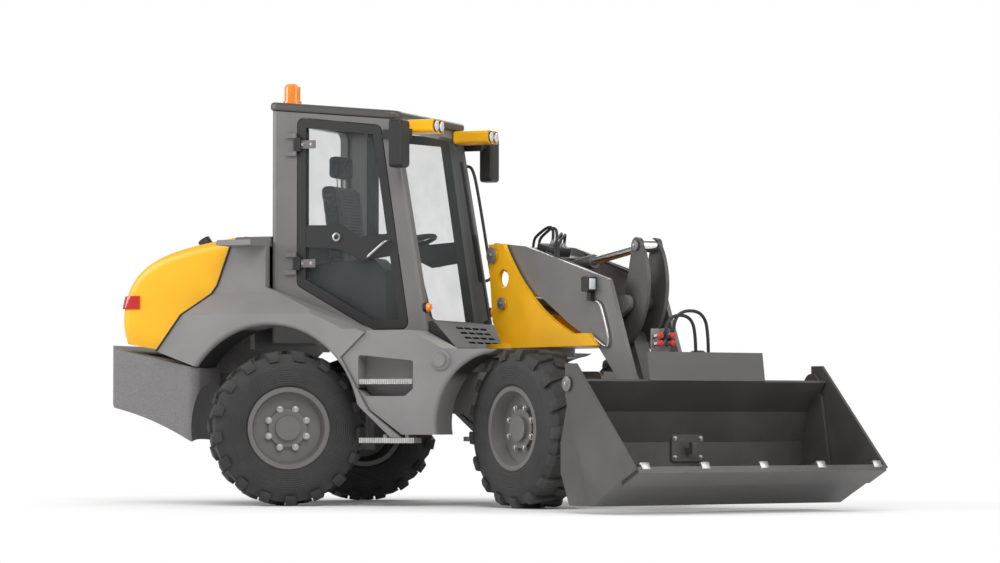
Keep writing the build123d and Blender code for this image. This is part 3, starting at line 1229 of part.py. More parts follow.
def cylinder_rod(base, eye, rod_radius, eye_radius, pin_radius, rod_tail):
    """Rod of a hydraulic cylinder, with its eye; the eye's pin is left out so that it may drift."""
    body = bar_between(base, eye, rod_radius, rod_tail, math.dist(base, eye))
    body += pin_across(eye, eye_radius, -CYLINDER_EYE_HALF, CYLINDER_EYE_HALF)
    return bored(body, eye, pin_radius, CYLINDER_EYE_HALF * 2)


def lift_barrel():
    return cylinder_barrel(LIFT_BASE, LIFT_EYE, LIFT_BARREL_RADIUS, LIFT_EYE_RADIUS, LIFT_PIN_RADIUS,
                           LIFT_ROD_RADIUS, LIFT_BARREL_LENGTH, LIFT_BORE_FROM)


def lift_rod():
    return cylinder_rod(LIFT_BASE, LIFT_EYE, LIFT_ROD_RADIUS, LIFT_EYE_RADIUS, LIFT_PIN_RADIUS,
                        LIFT_ROD_TAIL)


def tilt_barrel():
    return cylinder_barrel(TILT_BASE, TILT_EYE, TILT_BARREL_RADIUS, TILT_EYE_RADIUS, TILT_PIN_RADIUS,
                           TILT_ROD_RADIUS, TILT_BARREL_LENGTH, TILT_BORE_FROM)


def tilt_rod():
    return cylinder_rod(TILT_BASE, TILT_EYE, TILT_ROD_RADIUS, TILT_EYE_RADIUS, TILT_PIN_RADIUS,
                        TILT_ROD_TAIL)


def tilt_lever():
    """Curved lever on the boom: the tilt rod pushes its top, its foot pulls the link."""
    with BuildSketch() as plate:
        with BuildLine():
            front = ThreePointArc((TILT_EYE[0] + LEVER_LOBE, TILT_EYE[1]), (LEVER_BULGE_S, LEVER_BULGE_Z),
                                  (LEVER_LOW[0] + LEVER_LOBE * 0.4, LEVER_LOW[1] - LEVER_LOBE))
            foot = ThreePointArc(front @ 1, (LEVER_LOW[0] - LEVER_LOBE * 0.6, LEVER_LOW[1] - LEVER_LOBE * 0.7),
                                 (LEVER_LOW[0] - LEVER_LOBE, LEVER_LOW[1] + LEVER_LOBE * 0.5))
            back = Polyline(foot @ 1, (LEVER_PIVOT[0] - LEVER_LOBE * 1.2, LEVER_PIVOT[1]),
                            (TILT_EYE[0] - LEVER_LOBE, TILT_EYE[1] - LEVER_LOBE * 0.5),
                            (TILT_EYE[0] - LEVER_LOBE, TILT_EYE[1]))
            ThreePointArc(back @ 1, (TILT_EYE[0], TILT_EYE[1] + LEVER_LOBE), front @ 0)
        make_face()
    outer = LEVER_GAP + LEVER_PLATE
    slab = side_solid(plate.sketch, LEVER_GAP, outer)
    slab += pin_across(TILT_EYE, TILT_PIN_RADIUS, outer, outer + PIN_HEAD * 0.5)
    lever = slab + mirrored(slab)
    lever += pin_across(LEVER_PIVOT, LEVER_PIN_RADIUS + BOOM_SLEEVE, -outer - RUN_GAP, outer + RUN_GAP)
    lever += pin_across(LEVER_LOW, LINK_PIN_RADIUS, -LEVER_GAP, LEVER_GAP)
    return bored(lever, LEVER_PIVOT, LEVER_PIN_RADIUS, BRACKET_Y)


def link_foot():
    """Lower eye of the link: below the nose pin as the lever's foot is below the lever's pivot."""
    return (BOOM_NOSE[0] + LEVER_LOW[0] - LEVER_PIVOT[0], BOOM_NOSE[1] + LEVER_LOW[1] - LEVER_PIVOT[1])


def tilt_link():
    """Link from the lever's foot to the coupler; its lower pin is left out so that it may drift."""
    foot = link_foot()
    link = side_solid(arm_outline(LEVER_LOW, LINK_LOBE, foot, LINK_LOBE), -LINK_HALF_WIDTH, LINK_HALF_WIDTH)
    link = bored(link, LEVER_LOW, LINK_PIN_RADIUS, LINK_HALF_WIDTH * 2)
    return bored(link, foot, LINK_PIN_RADIUS, LINK_HALF_WIDTH * 2)


def coupler():
    """Quick coupler: ears on the nose pins and beside the link's foot, on a plate behind the bucket."""
    back = BUCKET_BACK_S - RUN_GAP
    front = back - COUPLER_PLATE
    frame = box_between(front, back, -COUPLER_Y, COUPLER_Y, COUPLER_LOW_Z, COUPLER_TOP_Z)
    ear = arm_outline(BOOM_NOSE, NOSE_LOBE, (front, BOOM_NOSE[1]), NOSE_LOBE * 1.3)
    ear &= Pos(back - COUPLER_Y, BOOM_NOSE[1]) * Rectangle(COUPLER_Y * 2, COUPLER_Y)
    horn = arm_outline(link_foot(), LINK_LOBE, (front, COUPLER_LOW_Z + LINK_LOBE), LINK_LOBE * 0.5)
    for side in (1, -1):
        near = side * (BOOM_Y + EYE_GAP)
        far = near + side * COUPLER_PLATE
        frame += side_solid(ear, *sorted((near, far)))
        ends = sorted((side * NOSE_PIN_INNER, far + side * PIN_HEAD))
        frame += pin_across(BOOM_NOSE, NOSE_PIN_RADIUS, *ends)
        near = side * (LINK_HALF_WIDTH + EYE_GAP)
        frame += side_solid(horn, *sorted((near, near + side * LEVER_PLATE)))
    middle = (RACK_NEAR_Y + RACK_FAR_Y) / 2
    width = RACK_FAR_Y - RACK_NEAR_Y
    rack = Pos(middle, (COUPLER_TOP_Z + RACK_TOP_Z) / 2 - RACK_FOOT) * RectangleRounded(
        width, RACK_TOP_Z - COUPLER_TOP_Z + RACK_FOOT * 2, width * 0.3)
    return frame + Pos(back, 0, 0) * extrude(Plane.YZ * rack, -COUPLER_PLATE)


def bucket_back():
    """Line of the moldboard's outer face, from its top edge down to the split behind the clam."""
    return [BUCKET_TOP, BUCKET_CHEST, (BUCKET_BACK_S, BUCKET_BACK_TOP), (BUCKET_BACK_S, BUCKET_BACK_LOW),
            BUCKET_HEEL, BUCKET_SPLIT]


def moldboard():
    """Rear half of the bucket: curved back, short sides and a spill guard."""
    wide = BUCKET_Y - BUCKET_PLATE - BUCKET_SIDE_GAP
    line = bucket_back()
    shell = side_solid(profile(bent_outline(line, BUCKET_PLATE)), -wide, wide)
    side = profile([CLAM_PIN, *line[1:], (BUCKET_SPLIT[0] - SPLIT_SLANT, CLAM_PIN[1] - CLAM_LOBE)])
    for y in (wide - BUCKET_PLATE, -wide):
        cheek = side_solid(side, y, y + BUCKET_PLATE)
        cheek += pin_across(CLAM_PIN, CLAM_LOBE, y, y + BUCKET_PLATE)
        shell += cheek
    guard = bent_outline([(BUCKET_TOP[0] - GUARD_LEAN, GUARD_TOP), BUCKET_TOP, line[1]], BUCKET_PLATE)
    shell += side_solid(profile(guard), -GUARD_Y, GUARD_Y)
    for side in (1, -1):
        pin = sorted((side * (wide - BUCKET_PLATE), side * (BUCKET_Y + CLAM_PIN_HEAD)))
        shell += pin_across(CLAM_PIN, CLAM_PIN_RADIUS, *pin)
    return shell + hook_plate()


def hook_plate():
    """Plate with a lifting hook on the inside of the moldboard."""
    face = BUCKET_BACK_S + BUCKET_PLATE
    outline = RectangleRounded(HOOK_PLATE_WIDTH, HOOK_PLATE_HEIGHT, HOOK_PLATE_ROUND)
    plate = Pos(face, 0, HOOK_PLATE_Z) * extrude(Plane.YZ * outline, HOOK_PLATE_WALL)
    shank = box_between(face, face + HOOK_REACH, -HOOK_WIDTH / 2, HOOK_WIDTH / 2,
                        HOOK_PLATE_Z - HOOK_WIDTH, HOOK_PLATE_Z)
    tip = box_between(face + HOOK_REACH - HOOK_WIDTH, face + HOOK_REACH, -HOOK_WIDTH / 2, HOOK_WIDTH / 2,
                      HOOK_PLATE_Z - HOOK_WIDTH, HOOK_PLATE_Z + HOOK_WIDTH)
    return plate + shank + fillet(tip.edges().filter_by(Axis.Y), HOOK_WIDTH * 0.3)


def clam():
    """Front half of the bucket: floor with its cutting edge and two side plates on the clam pins."""
    inner = BUCKET_Y - BUCKET_PLATE
    start = (BUCKET_SPLIT[0] + SPLIT_GAP, BUCKET_SPLIT[1])
    floor = side_solid(profile(bent_outline([start, BUCKET_LIP], BUCKET_PLATE)), -inner, inner)
    side = profile([(CLAM_PIN[0] - CLAM_LOBE * 0.4, CLAM_PIN[1] - CLAM_LOBE), start, BUCKET_LIP,
                    (CLAM_PIN[0] + CLAM_LOBE, CLAM_PEAK_Z), (CLAM_PIN[0] - CLAM_LOBE * 0.4, CLAM_PEAK_Z)])
    for y in (inner, -BUCKET_Y):
        floor += side_solid(side, y, y + BUCKET_PLATE)
    slope = math.degrees(math.atan2(BUCKET_LIP[1] - start[1], BUCKET_LIP[0] - start[0]))
    for index in range(TOOTH_COUNT):
        y = (index / (TOOTH_COUNT - 1) * 2 - 1) * (inner - TOOTH_WIDTH)
        tooth = Pos(-TOOTH_LENGTH / 2, 0, TOOTH_HEIGHT / 2) * Box(TOOTH_LENGTH, TOOTH_WIDTH, TOOTH_HEIGHT)
        floor += Pos(BUCKET_LIP[0], y, BUCKET_LIP[1]) * (Rot(0, -slope, 0) * tooth)
    edge = Pos(-EDGE_LENGTH / 2, 0, -EDGE_THICKNESS / 2) * Box(EDGE_LENGTH, inner * 2, EDGE_THICKNESS)
    floor += Pos(BUCKET_LIP[0], 0, BUCKET_LIP[1]) * (Rot(0, -slope, 0) * edge)
    return bored(floor, CLAM_PIN, CLAM_PIN_RADIUS, BUCKET_Y * 2)


def on_tower(shape):
    """Turn a piece of the tower or boom to the side that it points to as parked."""
    return Pos(SLEW_X, 0, 0) * Rot(0, 0, SLEW_REST) * shape


def on_kingpin(shape, end, side):
    """Put a left-hand wheel piece on a kingpin: end is 1 in front, side is 1 on the left."""
    piece = shape if side > 0 else mirrored(shape)
    return Pos(end * WHEELBASE / 2, side * KINGPIN_Y, TYRE_RADIUS) * Rot(0, 0, -end * REST_STEER) * piece


def corner_name(end, side):
    return ("front" if end > 0 else "rear") + ("_left" if side > 0 else "_right")


def chassis_pieces():
    """What stays on the rigid chassis."""
    pieces = {
        "main_frame": main_frame(),
        "engine_block": engine(),
        "rear_cover": rear_cover(),
        "counterweight": counterweight(),
        "tow_hitch": tow_hitch(),
        "deck": deck(),
        "cowl": cowl(),
        "steps": steps(),
        "cab_frame": cab_frame(),
        "cab_roof": cab_roof(),
        "windscreen": windscreen(),
        "rear_window": rear_window(),
        "door_hinges": door_hinges(),
        "seat_base": seat_base(),
        "seat_cushion": seat_cushion(),
        "seat_back": seat_back(),
        "steering_column": steering_column(),
        "console": console(),
        "work_lamps": work_lamps(),
        "beacon": beacon(),
        "mirrors": mirrors(),
    }
    for end in (1, -1):
        name = "front_axle" if end > 0 else "rear_axle"
        pieces[name] = Pos(end * WHEELBASE / 2, 0, TYRE_RADIUS) * axle()
    for name, panel in (("rear_fender", rear_fender()), ("side_panel", side_panel())):
        pieces[name + "_right"] = panel
        pieces[name + "_left"] = mirrored(panel)
    pieces["side_panel_right"] += fuel_cap()
    return pieces


def moving_pieces():
    """What turns or slides: hood, doors, wheels, and everything on the slewing tower."""
    pieces = {
        "hood": hood(),
        "exhaust_stub": exhaust_stub(),
        "tail_lamps": tail_lamps(),
        "door_right": door_right(),
        "door_glass_right": door_glass_right(),
    }
    for name in ("door", "door_glass"):
        pieces[name + "_left"] = mirrored(pieces[name + "_right"])
    wheel = {"knuckle": knuckle(), "tyre": tyre(), "rim": rim()}
    for end in (1, -1):
        for side in (1, -1):
            for name, shape in wheel.items():
                pieces[name + "_" + corner_name(end, side)] = on_kingpin(shape, end, side)
    arm = {
        "tower": tower(),
        "boom": boom(),
        "boom_lamps": boom_lamps(),
        "lift_barrel": lift_barrel(),
        "lift_rod": lift_rod(),
        "tilt_barrel": tilt_barrel(),
        "tilt_rod": tilt_rod(),
        "tilt_lever": tilt_lever(),
        "tilt_link": tilt_link(),
        "coupler": coupler(),
        "bucket_moldboard": moldboard(),
        "bucket_clam": clam(),
    }
    for name, shape in arm.items():
        pieces[name] = on_tower(shape)
    return pieces


def all_pieces():
    """Every piece by its name, with the origin in the middle of the bottom of the overall box."""
    pieces = {**chassis_pieces(), **moving_pieces()}
    box = Compound(list(pieces.values())).bounding_box()
    shift = (-(box.min.X + box.max.X) / 2, -(box.min.Y + box.max.Y) / 2, -box.min.Z)
    return {name: Pos(*shift) * piece for name, piece in pieces.items()}, shift


def main():
    os.makedirs("parts", exist_ok=True)
    pieces, shift = all_pieces()
    for name, piece in pieces.items():
        export_step(piece, "parts/" + name + ".step")
    print("origin moved by", [round(value, 3) for value in shift])


if __name__ == "__main__":
    main()
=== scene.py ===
import json
import math

import bmesh
import bpy
from bpy.props import FloatProperty, FloatVectorProperty, IntProperty, PointerProperty
from bpy.types import Operator, Panel, PropertyGroup
from mathutils import Matrix, Vector


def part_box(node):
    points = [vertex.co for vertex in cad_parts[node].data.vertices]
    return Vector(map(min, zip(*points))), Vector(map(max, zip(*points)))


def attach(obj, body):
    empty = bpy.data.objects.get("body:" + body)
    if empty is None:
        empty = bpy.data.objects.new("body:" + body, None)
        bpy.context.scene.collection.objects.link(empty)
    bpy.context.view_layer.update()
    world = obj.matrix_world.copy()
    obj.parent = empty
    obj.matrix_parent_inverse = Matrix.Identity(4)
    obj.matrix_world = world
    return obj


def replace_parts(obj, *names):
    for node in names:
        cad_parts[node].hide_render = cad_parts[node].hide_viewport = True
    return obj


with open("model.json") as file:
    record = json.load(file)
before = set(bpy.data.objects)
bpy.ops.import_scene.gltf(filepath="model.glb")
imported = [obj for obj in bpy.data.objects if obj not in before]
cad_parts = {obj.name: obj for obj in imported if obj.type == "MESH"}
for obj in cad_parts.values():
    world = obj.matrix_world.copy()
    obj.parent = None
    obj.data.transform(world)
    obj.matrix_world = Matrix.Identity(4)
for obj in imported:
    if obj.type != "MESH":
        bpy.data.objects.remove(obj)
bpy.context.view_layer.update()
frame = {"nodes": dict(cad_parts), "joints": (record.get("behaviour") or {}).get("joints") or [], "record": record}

bl_info = {
    "name": "Swing Loader Looks",
    "version": (1, 0, 0),
    "blender": (4, 5, 0),
    "location": "View3D > Sidebar > Loader",
    "description": "Finishes, fittings, seat padding and stage for a packed swing loader",
    "category": "Object",
}

JOINTS = {joint["name"]: joint for joint in frame["joints"]}
CORNERS = ("front_right", "front_left", "rear_right", "rear_left")
SIDES = {"left": 1, "right": -1}
UP = Vector((0, 0, 1))
AHEAD = Vector((1, 0, 0))
AXLE_AHEAD = 0.9765  # front axle ahead of the middle of the wheelbase
AXLE_HEIGHT = 0.522  # both axles above the ground
SLEW_AHEAD = 0.570  # slewing axis ahead of the middle of the wheelbase
SLEW_HEIGHT = 1.058  # slewing joint above the ground
SLEW_AXIS = Vector(JOINTS["slew"]["pos_m"])
GROUND = SLEW_AXIS.z - SLEW_HEIGHT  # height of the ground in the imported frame
ARM_LEFT = -Vector(JOINTS["boom_lift"]["axis"])
ARM_AHEAD = ARM_LEFT.cross(UP)


def on_body(x, y, z):
    """A place on the chassis: metres ahead of mid-wheelbase, to the left of the middle, above the ground."""
    return Vector((SLEW_AXIS.x - SLEW_AHEAD + x, SLEW_AXIS.y + y, z + GROUND))


def on_arm(ahead, left, z):
    """A place in the boom's plane: metres ahead of the slewing axis, to its left, above the ground."""
    flat = SLEW_AXIS + ARM_AHEAD * ahead + ARM_LEFT * left
    return Vector((flat.x, flat.y, z + GROUND))


def facing(direction, upright=UP):
    """Turn whose local Z points along a direction and whose local Y is as upright as it can be."""
    out = Vector(direction).normalized()
    side = Vector(upright).cross(out)
    if side.length < 1e-6:
        side = Vector((1, 0, 0))
    side.normalize()
    rise = out.cross(side)
    return Matrix((side, rise, out)).transposed().to_4x4()


def set_at(place, direction, upright=UP):
    """Place and turn of a fitting that stands on a surface and looks along a direction."""
    return Matrix.Translation(place) @ facing(direction, upright)


def lifted(spot, height):
    """The place of a fitting, moved out the way that it looks."""
    return spot @ Matrix.Translation((0, 0, height))


def wheel_turn(corner):
    """A packed wheel's turn about the upright axis."""
    axis = Vector(JOINTS["roll_" + corner]["axis"])
    return math.atan2(-axis.x, axis.y)


def colour_setting(name, description, default):
    return FloatVectorProperty(name=name, description=description, default=default, subtype="COLOR", size=3,
                               min=0, max=1)


def length_setting(name, description, default, low, high):
    return FloatProperty(name=name, description=description, default=default, min=low, max=high,
                         unit="LENGTH")


def angle_setting(name, description, degrees):
    return FloatProperty(name=name, description=description, default=math.radians(degrees), subtype="ANGLE")


class LoaderColours(PropertyGroup):
    """Colours of the finishes."""
    yellow: colour_setting("Yellow", "Hood, tower and lamp pods", (0.90, 0.45, 0.001))
    grey: colour_setting("Grey", "Painted steel of the boom and cab", (0.158, 0.152, 0.150))
    tool: colour_setting("Tool grey", "Bucket, its linkage and the cab's roof", (0.066, 0.063, 0.062))
    moulding: colour_setting("Moulding", "Side panels and arches", (0.235, 0.227, 0.226))
    casting: colour_setting("Casting", "Counterweight, axles and hitch", (0.185, 0.179, 0.179))
    rim: colour_setting("Rim", "Wheel discs", (0.150, 0.145, 0.143))
    black: colour_setting("Black", "Plastic trim", (0.018, 0.018, 0.019))
    rubber: colour_setting("Rubber", "Tyres", (0.026, 0.026, 0.027))


class LoaderFittings(PropertyGroup):
    """Sizes of the small fittings."""
    nut_count: IntProperty(name="Wheel nuts", description="Nuts on each wheel disc", default=8, min=4, max=12)
    nut_circle: length_setting("Nut circle", "Radius of the ring of wheel nuts", 0.1375, 0.08, 0.2)
    nut_size: length_setting("Nut size", "Radius over the corners of a wheel nut", 0.017, 0.008, 0.03)
    bolt_size: length_setting("Bolt size", "Radius over the corners of a bolt head", 0.012, 0.005, 0.03)


class LoaderTyre(PropertyGroup):
    """Sizes of the tyres."""
    radius: length_setting("Radius", "Over the lugs", 0.521, 0.3, 0.8)
    crown: length_setting("Crown", "Radius between the lugs", 0.498, 0.3, 0.8)
    half_width: length_setting("Half width", "Middle to the widest point", 0.1675, 0.05, 0.4)
    seat: length_setting("Seat", "Radius on the rim", 0.254, 0.1, 0.5)
    lugs: IntProperty(name="Lugs", description="Lugs in each of the two rows", default=17, min=8, max=30)
    lean: angle_setting("Lean", "How far every lug is turned round the tyre", 4)
    edge: length_setting("Lug edge", "Rounding of the lugs' edges", 0.005, 0.001, 0.02)


class LoaderView(PropertyGroup):
    """Camera of the stage."""
    lens: FloatProperty(name="Lens", description="Focal length", default=119.7, min=20, max=300,
                        unit="CAMERA")
    distance: length_setting("Distance", "Camera to the middle of the wheelbase", 22.795, 5, 60)
    height: length_setting("Height", "Camera above the ground", 0.58, 0, 5)
    yaw: angle_setting("Yaw", "Camera's turn ahead of the right side", 23.6)
    pan: angle_setting("Pan", "How far the camera looks to the right of the middle", 0.793)
    tilt: angle_setting("Tilt", "How far the camera looks up", 2.377)


class Value:
    """A shader socket that takes part in Python expressions."""

    def __init__(self, nodes, socket):
        self.nodes = nodes
        self.socket = socket

    def combine(self, operation, first, second):
        node = self.nodes.node("ShaderNodeMath", {"operation": operation}, {0: first, 1: second})
        return Value(self.nodes, node.outputs[0])

    def __add__(self, other):
        return self.combine("ADD", self, other)

    def __radd__(self, other):
        return self.combine("ADD", other, self)

    def __sub__(self, other):
        return self.combine("SUBTRACT", self, other)

    def __mul__(self, other):
        return self.combine("MULTIPLY", self, other)

    def __pow__(self, other):
        return self.combine("POWER", self, other)

    def above(self, edge):
        return self.combine("GREATER_THAN", self, edge)

    def larger(self, other):
        return self.combine("MAXIMUM", self, other)


class Nodes:
    """A node tree and what is added to it."""

    def __init__(self, tree):
        self.tree = tree

    def node(self, kind, settings=None, sockets=None):
        """Add a node: its settings first, then the values or links of its sockets."""
        node = self.tree.nodes.new(kind)
        for name, value in (settings or {}).items():
            setattr(node, name, value)
        for name, value in (sockets or {}).items():
            self.join(node.inputs[name], value)
        return node

    def join(self, target, value):
        if isinstance(value, Value):
            value = value.socket
        if isinstance(value, bpy.types.NodeSocket):
            self.tree.links.new(value, target)
        else:
            target.default_value = value

    def spread(self, value, low, high, to_low=0.0, to_high=1.0):
        """Stretch a range of values over another one, with no overshoot."""
        node = self.node("ShaderNodeMapRange", {"clamp": True}, {
            "Value": value, "From Min": low, "From Max": high, "To Min": to_low, "To Max": to_high})
        return Value(self, node.outputs["Result"])


class Finish(Nodes):
    """One material and the nodes that make it, on the piece's own coordinates."""

    def __init__(self, name, **constants):
        self.material = bpy.data.materials.new(name)
        self.material.use_nodes = True
        super().__init__(self.material.node_tree)
        self.shader = self.tree.nodes["Principled BSDF"]
        for socket, value in constants.items():
            self.shader.inputs[socket.replace("_", " ").title()].default_value = value
        self.place = self.node("ShaderNodeTexCoord").outputs["Object"]

    def feed(self, name, value):
        self.join(self.shader.inputs[name], value)

    def noise(self, scale, detail, rough=0.5):
        node = self.node("ShaderNodeTexNoise", {}, {"Vector": self.place, "Scale": scale, "Detail": detail,
                                                    "Roughness": rough})
        return Value(self, node.outputs["Fac"])

    def cells(self, scale):
        node = self.node("ShaderNodeTexVoronoi", {}, {"Vector": self.place, "Scale": scale})
        return Value(self, node.outputs["Distance"])

    def blend(self, factor, first, second):
        """Mix two colours."""
        node = self.node("ShaderNodeMix", {"data_type": "RGBA"})
        self.join(node.inputs[0], factor)
        for index, colour in ((6, first), (7, second)):
            self.join(node.inputs[index], (*colour, 1) if isinstance(colour, tuple) else colour)
        return node.outputs[2]

    def axis(self, index, place=None):
        node = self.node("ShaderNodeSeparateXYZ", {}, {"Vector": place or self.place})
        return Value(self, node.outputs[index])

    def centred(self, middle, turn=0.0):
        """The piece's coordinates about a point, turned back about the upright axis."""
        moved = self.node("ShaderNodeVectorMath", {"operation": "SUBTRACT"},
                          {0: self.place, 1: tuple(middle)})
        return self.node("ShaderNodeVectorRotate", {"rotation_type": "Z_AXIS"},
                         {"Vector": moved.outputs[0], "Angle": -turn}).outputs[0]

    def done(self, colour, relief, depth, roughness=None):
        """Feed the shader its colour, its relief and, if it varies, its roughness."""
        self.feed("Base Color", colour)
        if roughness:
            self.feed("Roughness", roughness)
        node = self.node("ShaderNodeBump", {}, {"Height": relief, "Distance": depth, "Strength": 1.0})
        self.feed("Normal", node.outputs["Normal"])
        return self.material


ROAD_DUST = (0.20, 0.18, 0.16)
TYRE_DUST = (0.115, 0.108, 0.100)
# painted shade: black on the side panels inside the wheel arches
ARCH_PAINTED_SHADE = (0.012,) * 3
# painted shade in the rib feet of the step treads, and a painted highlight on their crests
RIB_FOOT_PAINTED_SHADE = (0.42, 0.41, 0.40)
RIB_CREST_PAINTED_HIGHLIGHT = (0.86, 0.86, 0.85)
CLOTH_FLECK = (0.16, 0.16, 0.17)
ARCH_TOPS = {AXLE_AHEAD: 1.02, -AXLE_AHEAD: 1.20}  # how high the painted shade in the arches reaches at each axle
ARCH_RADIUS = 0.72  # reach of that painted shade round the axle
ARCH_FADE = 0.02  # its soft edge
ARCH_SIDE = 0.846  # its reach to the side
ARCH_SIDE_FADE = 0.012


def shade(colour, factor):
    return tuple(min(1.0, channel * factor) for channel in colour)


def paint(name, colour, roughness, coat=0.25):
    """Sprayed enamel: a faint orange peel, uneven gloss, and a little road dust low down."""
    finish = Finish(name, coat_weight=coat, coat_roughness=0.12)
    cloud = finish.noise(3.0, 4.0)
    speck = finish.noise(60.0, 3.0)
    low = finish.spread(finish.axis(2), 0.9, 0.1)
    dust = low * finish.spread(cloud * 0.7 + speck * 0.3, 0.45, 0.7) * 0.35
    body = finish.blend(finish.spread(cloud, 0.35, 0.65), shade(colour, 0.93), shade(colour, 1.06))
    gloss = finish.spread(cloud * 0.6 + speck * 0.4, 0.3, 0.7, roughness - 0.05, roughness + 0.06)
    peel = finish.noise(220.0, 1.0)
    return finish.done(finish.blend(dust, body, ROAD_DUST), peel, 0.0006, gloss + dust * 0.4)


def arch_shade_mask(finish):
    """How far a point lies inside the wheel arches, from 0 to 1: where the painted shade goes."""
    own = finish.centred(on_body(0, 0, 0))
    x, y, z = (finish.axis(index, own) for index in range(3))
    inside = 0.0
    for axle, top in ARCH_TOPS.items():
        away = (x - axle) ** 2 + (z - AXLE_HEIGHT) ** 2
        near = finish.spread(away, ARCH_RADIUS ** 2, (ARCH_RADIUS - ARCH_FADE) ** 2)
        inside = near * finish.spread(z, top, top - ARCH_FADE) + inside
    return inside * finish.spread(y ** 2, ARCH_SIDE ** 2, (ARCH_SIDE - ARCH_SIDE_FADE) ** 2)


def moulded(name, colour, roughness, grain=0.0008, arches=False):
    """Moulded plastic with a leathery grain; side panels get black painted shade inside the wheel arches."""
    finish = Finish(name)
    cloud = finish.noise(2.5, 4.0)
    pores = finish.cells(260.0)
    skin = finish.blend(finish.spread(cloud, 0.3, 0.7), shade(colour, 0.9), shade(colour, 1.08))
    gloss = finish.spread(cloud + pores * 0.3, 0.4, 0.9, roughness - 0.06, roughness + 0.06)
    if arches:
        inside = arch_shade_mask(finish)
        # black painted shade inside the wheel arches, a little rougher there
        skin = finish.blend(inside, skin, ARCH_PAINTED_SHADE)
        gloss = gloss + inside * 0.3
    return finish.done(skin, pores, grain, gloss)


def cast(name, colour, roughness):
    """Painted casting: sand texture and a few broad undulations."""
    finish = Finish(name)
    sand = finish.noise(95.0, 4.0, 0.7)
    broad = finish.noise(4.0, 3.0)
    skin = finish.blend(finish.spread(sand, 0.35, 0.7), shade(colour, 0.8), shade(colour, 1.25))
    gloss = finish.spread(sand, 0.3, 0.7, roughness - 0.08, roughness + 0.1)
    return finish.done(skin, sand + broad * 2.0, 0.0055, gloss)


def tyre_rubber(name, colour, middle, turn):
    """Rubber with moulded rings on the sidewall and a dusty tread."""
    finish = Finish(name)
    own = finish.centred(middle, turn)
    across, tall = finish.axis(0, own), finish.axis(2, own)
    radius = (across * across + tall * tall) ** 0.5
    cloud = finish.noise(9.0, 5.0)
    fine = finish.noise(180.0, 3.0)
    tread = finish.spread(radius, 0.44, 0.51)
    dust = finish.spread(cloud * 0.6 + fine * 0.4, 0.42, 0.72) * (0.25 + tread * 0.35)
    gloss = finish.spread(dust, 0.0, 0.5, 0.62, 0.88)
    rings = finish.node("ShaderNodeMath", {"operation": "SINE"}, {0: radius * 420.0})
    wall = finish.spread(radius, 0.27, 0.29) * finish.spread(radius, 0.43, 0.40)
    relief = Value(finish, rings.outputs[0]) * wall * 0.5 + fine * 0.6
    return finish.done(finish.blend(dust, colour, TYRE_DUST), relief, 0.0025, gloss)


def bare_metal(name, colour, roughness):
    """Turned or plated metal with fine rub marks."""
    finish = Finish(name, metallic=1.0)
    marks = finish.noise(340.0, 2.0)
    cloud = finish.noise(12.0, 3.0)
    gloss = finish.spread(marks * 0.5 + cloud * 0.5, 0.3, 0.7, roughness * 0.7, roughness * 1.3)
    return finish.done(finish.blend(cloud, shade(colour, 0.86), shade(colour, 1.05)), marks, 0.0003, gloss)


def ribbed_alloy(name):
    """Step treads of ribbed aluminium, ribs across the machine, with painted shade in the rib feet and a painted
    highlight on the crests.
    """
    finish = Finish(name, metallic=0.85)
    ribs = finish.node("ShaderNodeTexWave", {"bands_direction": "X"}, {"Vector": finish.place, "Scale": 24.0})
    rib = Value(finish, ribs.outputs["Fac"])
    cloud = finish.noise(20.0, 4.0)
    gloss = finish.spread(cloud, 0.3, 0.7, 0.28, 0.5)
    # painted shade in the rib feet and painted highlight on the crests, following the ribs' relief; the cloud
    # varies the tone at random
    return finish.done(finish.blend(rib * 0.6 + cloud * 0.4, RIB_FOOT_PAINTED_SHADE, RIB_CREST_PAINTED_HIGHLIGHT), rib, 0.004, gloss)


def clear_glass(name, tint):
    """Thin tinted safety glass: mostly see-through, with a film of dust."""
    finish = Finish(name, roughness=0.03)
    film = finish.noise(5.0, 5.0)
    finish.feed("Base Color", finish.blend(film, shade(tint, 0.9), tint))
    finish.feed("Alpha", finish.spread(film, 0.3, 0.7, 0.08, 0.13))
    finish.material.surface_render_method = "BLENDED"
    return finish.material


def lens(name, colour, glow):
    """Lamp lens with moulded prisms."""
    finish = Finish(name, roughness=0.08, emission_strength=glow, coat_weight=1.0)
    prisms = finish.node("ShaderNodeTexChecker", {}, {"Vector": finish.place, "Scale": 140.0})
    facet = Value(finish, prisms.outputs["Fac"])
    finish.feed("Emission Color", finish.blend(facet, shade(colour, 0.8), colour))
    return finish.done(finish.blend(facet * 0.5, shade(colour, 0.8), colour), facet, 0.0015)


def woven(name, colour):
    """Seat cloth: a fine weave with flecks."""
    finish = Finish(name, roughness=0.9, sheen_weight=0.4)
    threads = []
    for direction in "XY":
        wave = finish.node("ShaderNodeTexWave", {"bands_direction": direction},
                           {"Vector": finish.place, "Scale": 110.0, "Distortion": 0.6})
        threads.append(Value(finish, wave.outputs["Fac"]))
    weave = threads[0] * threads[1]
    fleck = finish.noise(90.0, 2.0).above(0.62)
    cloth = finish.blend(weave, shade(colour, 0.6), shade(colour, 1.5))
    return finish.done(finish.blend(fleck * 0.5, cloth, CLOTH_FLECK), weave, 0.0012)


FINISHES = {}
OWN_FINISH = {  # nodes with another finish than their slot's
    **dict.fromkeys(("door_right", "door_left"), "black_plastic"),
    **dict.fromkeys(("bucket_moldboard", "bucket_clam", "coupler", "tilt_lever", "tilt_link", "lift_barrel",
                     "tilt_barrel", "cab_roof"), "tool_paint"),
}


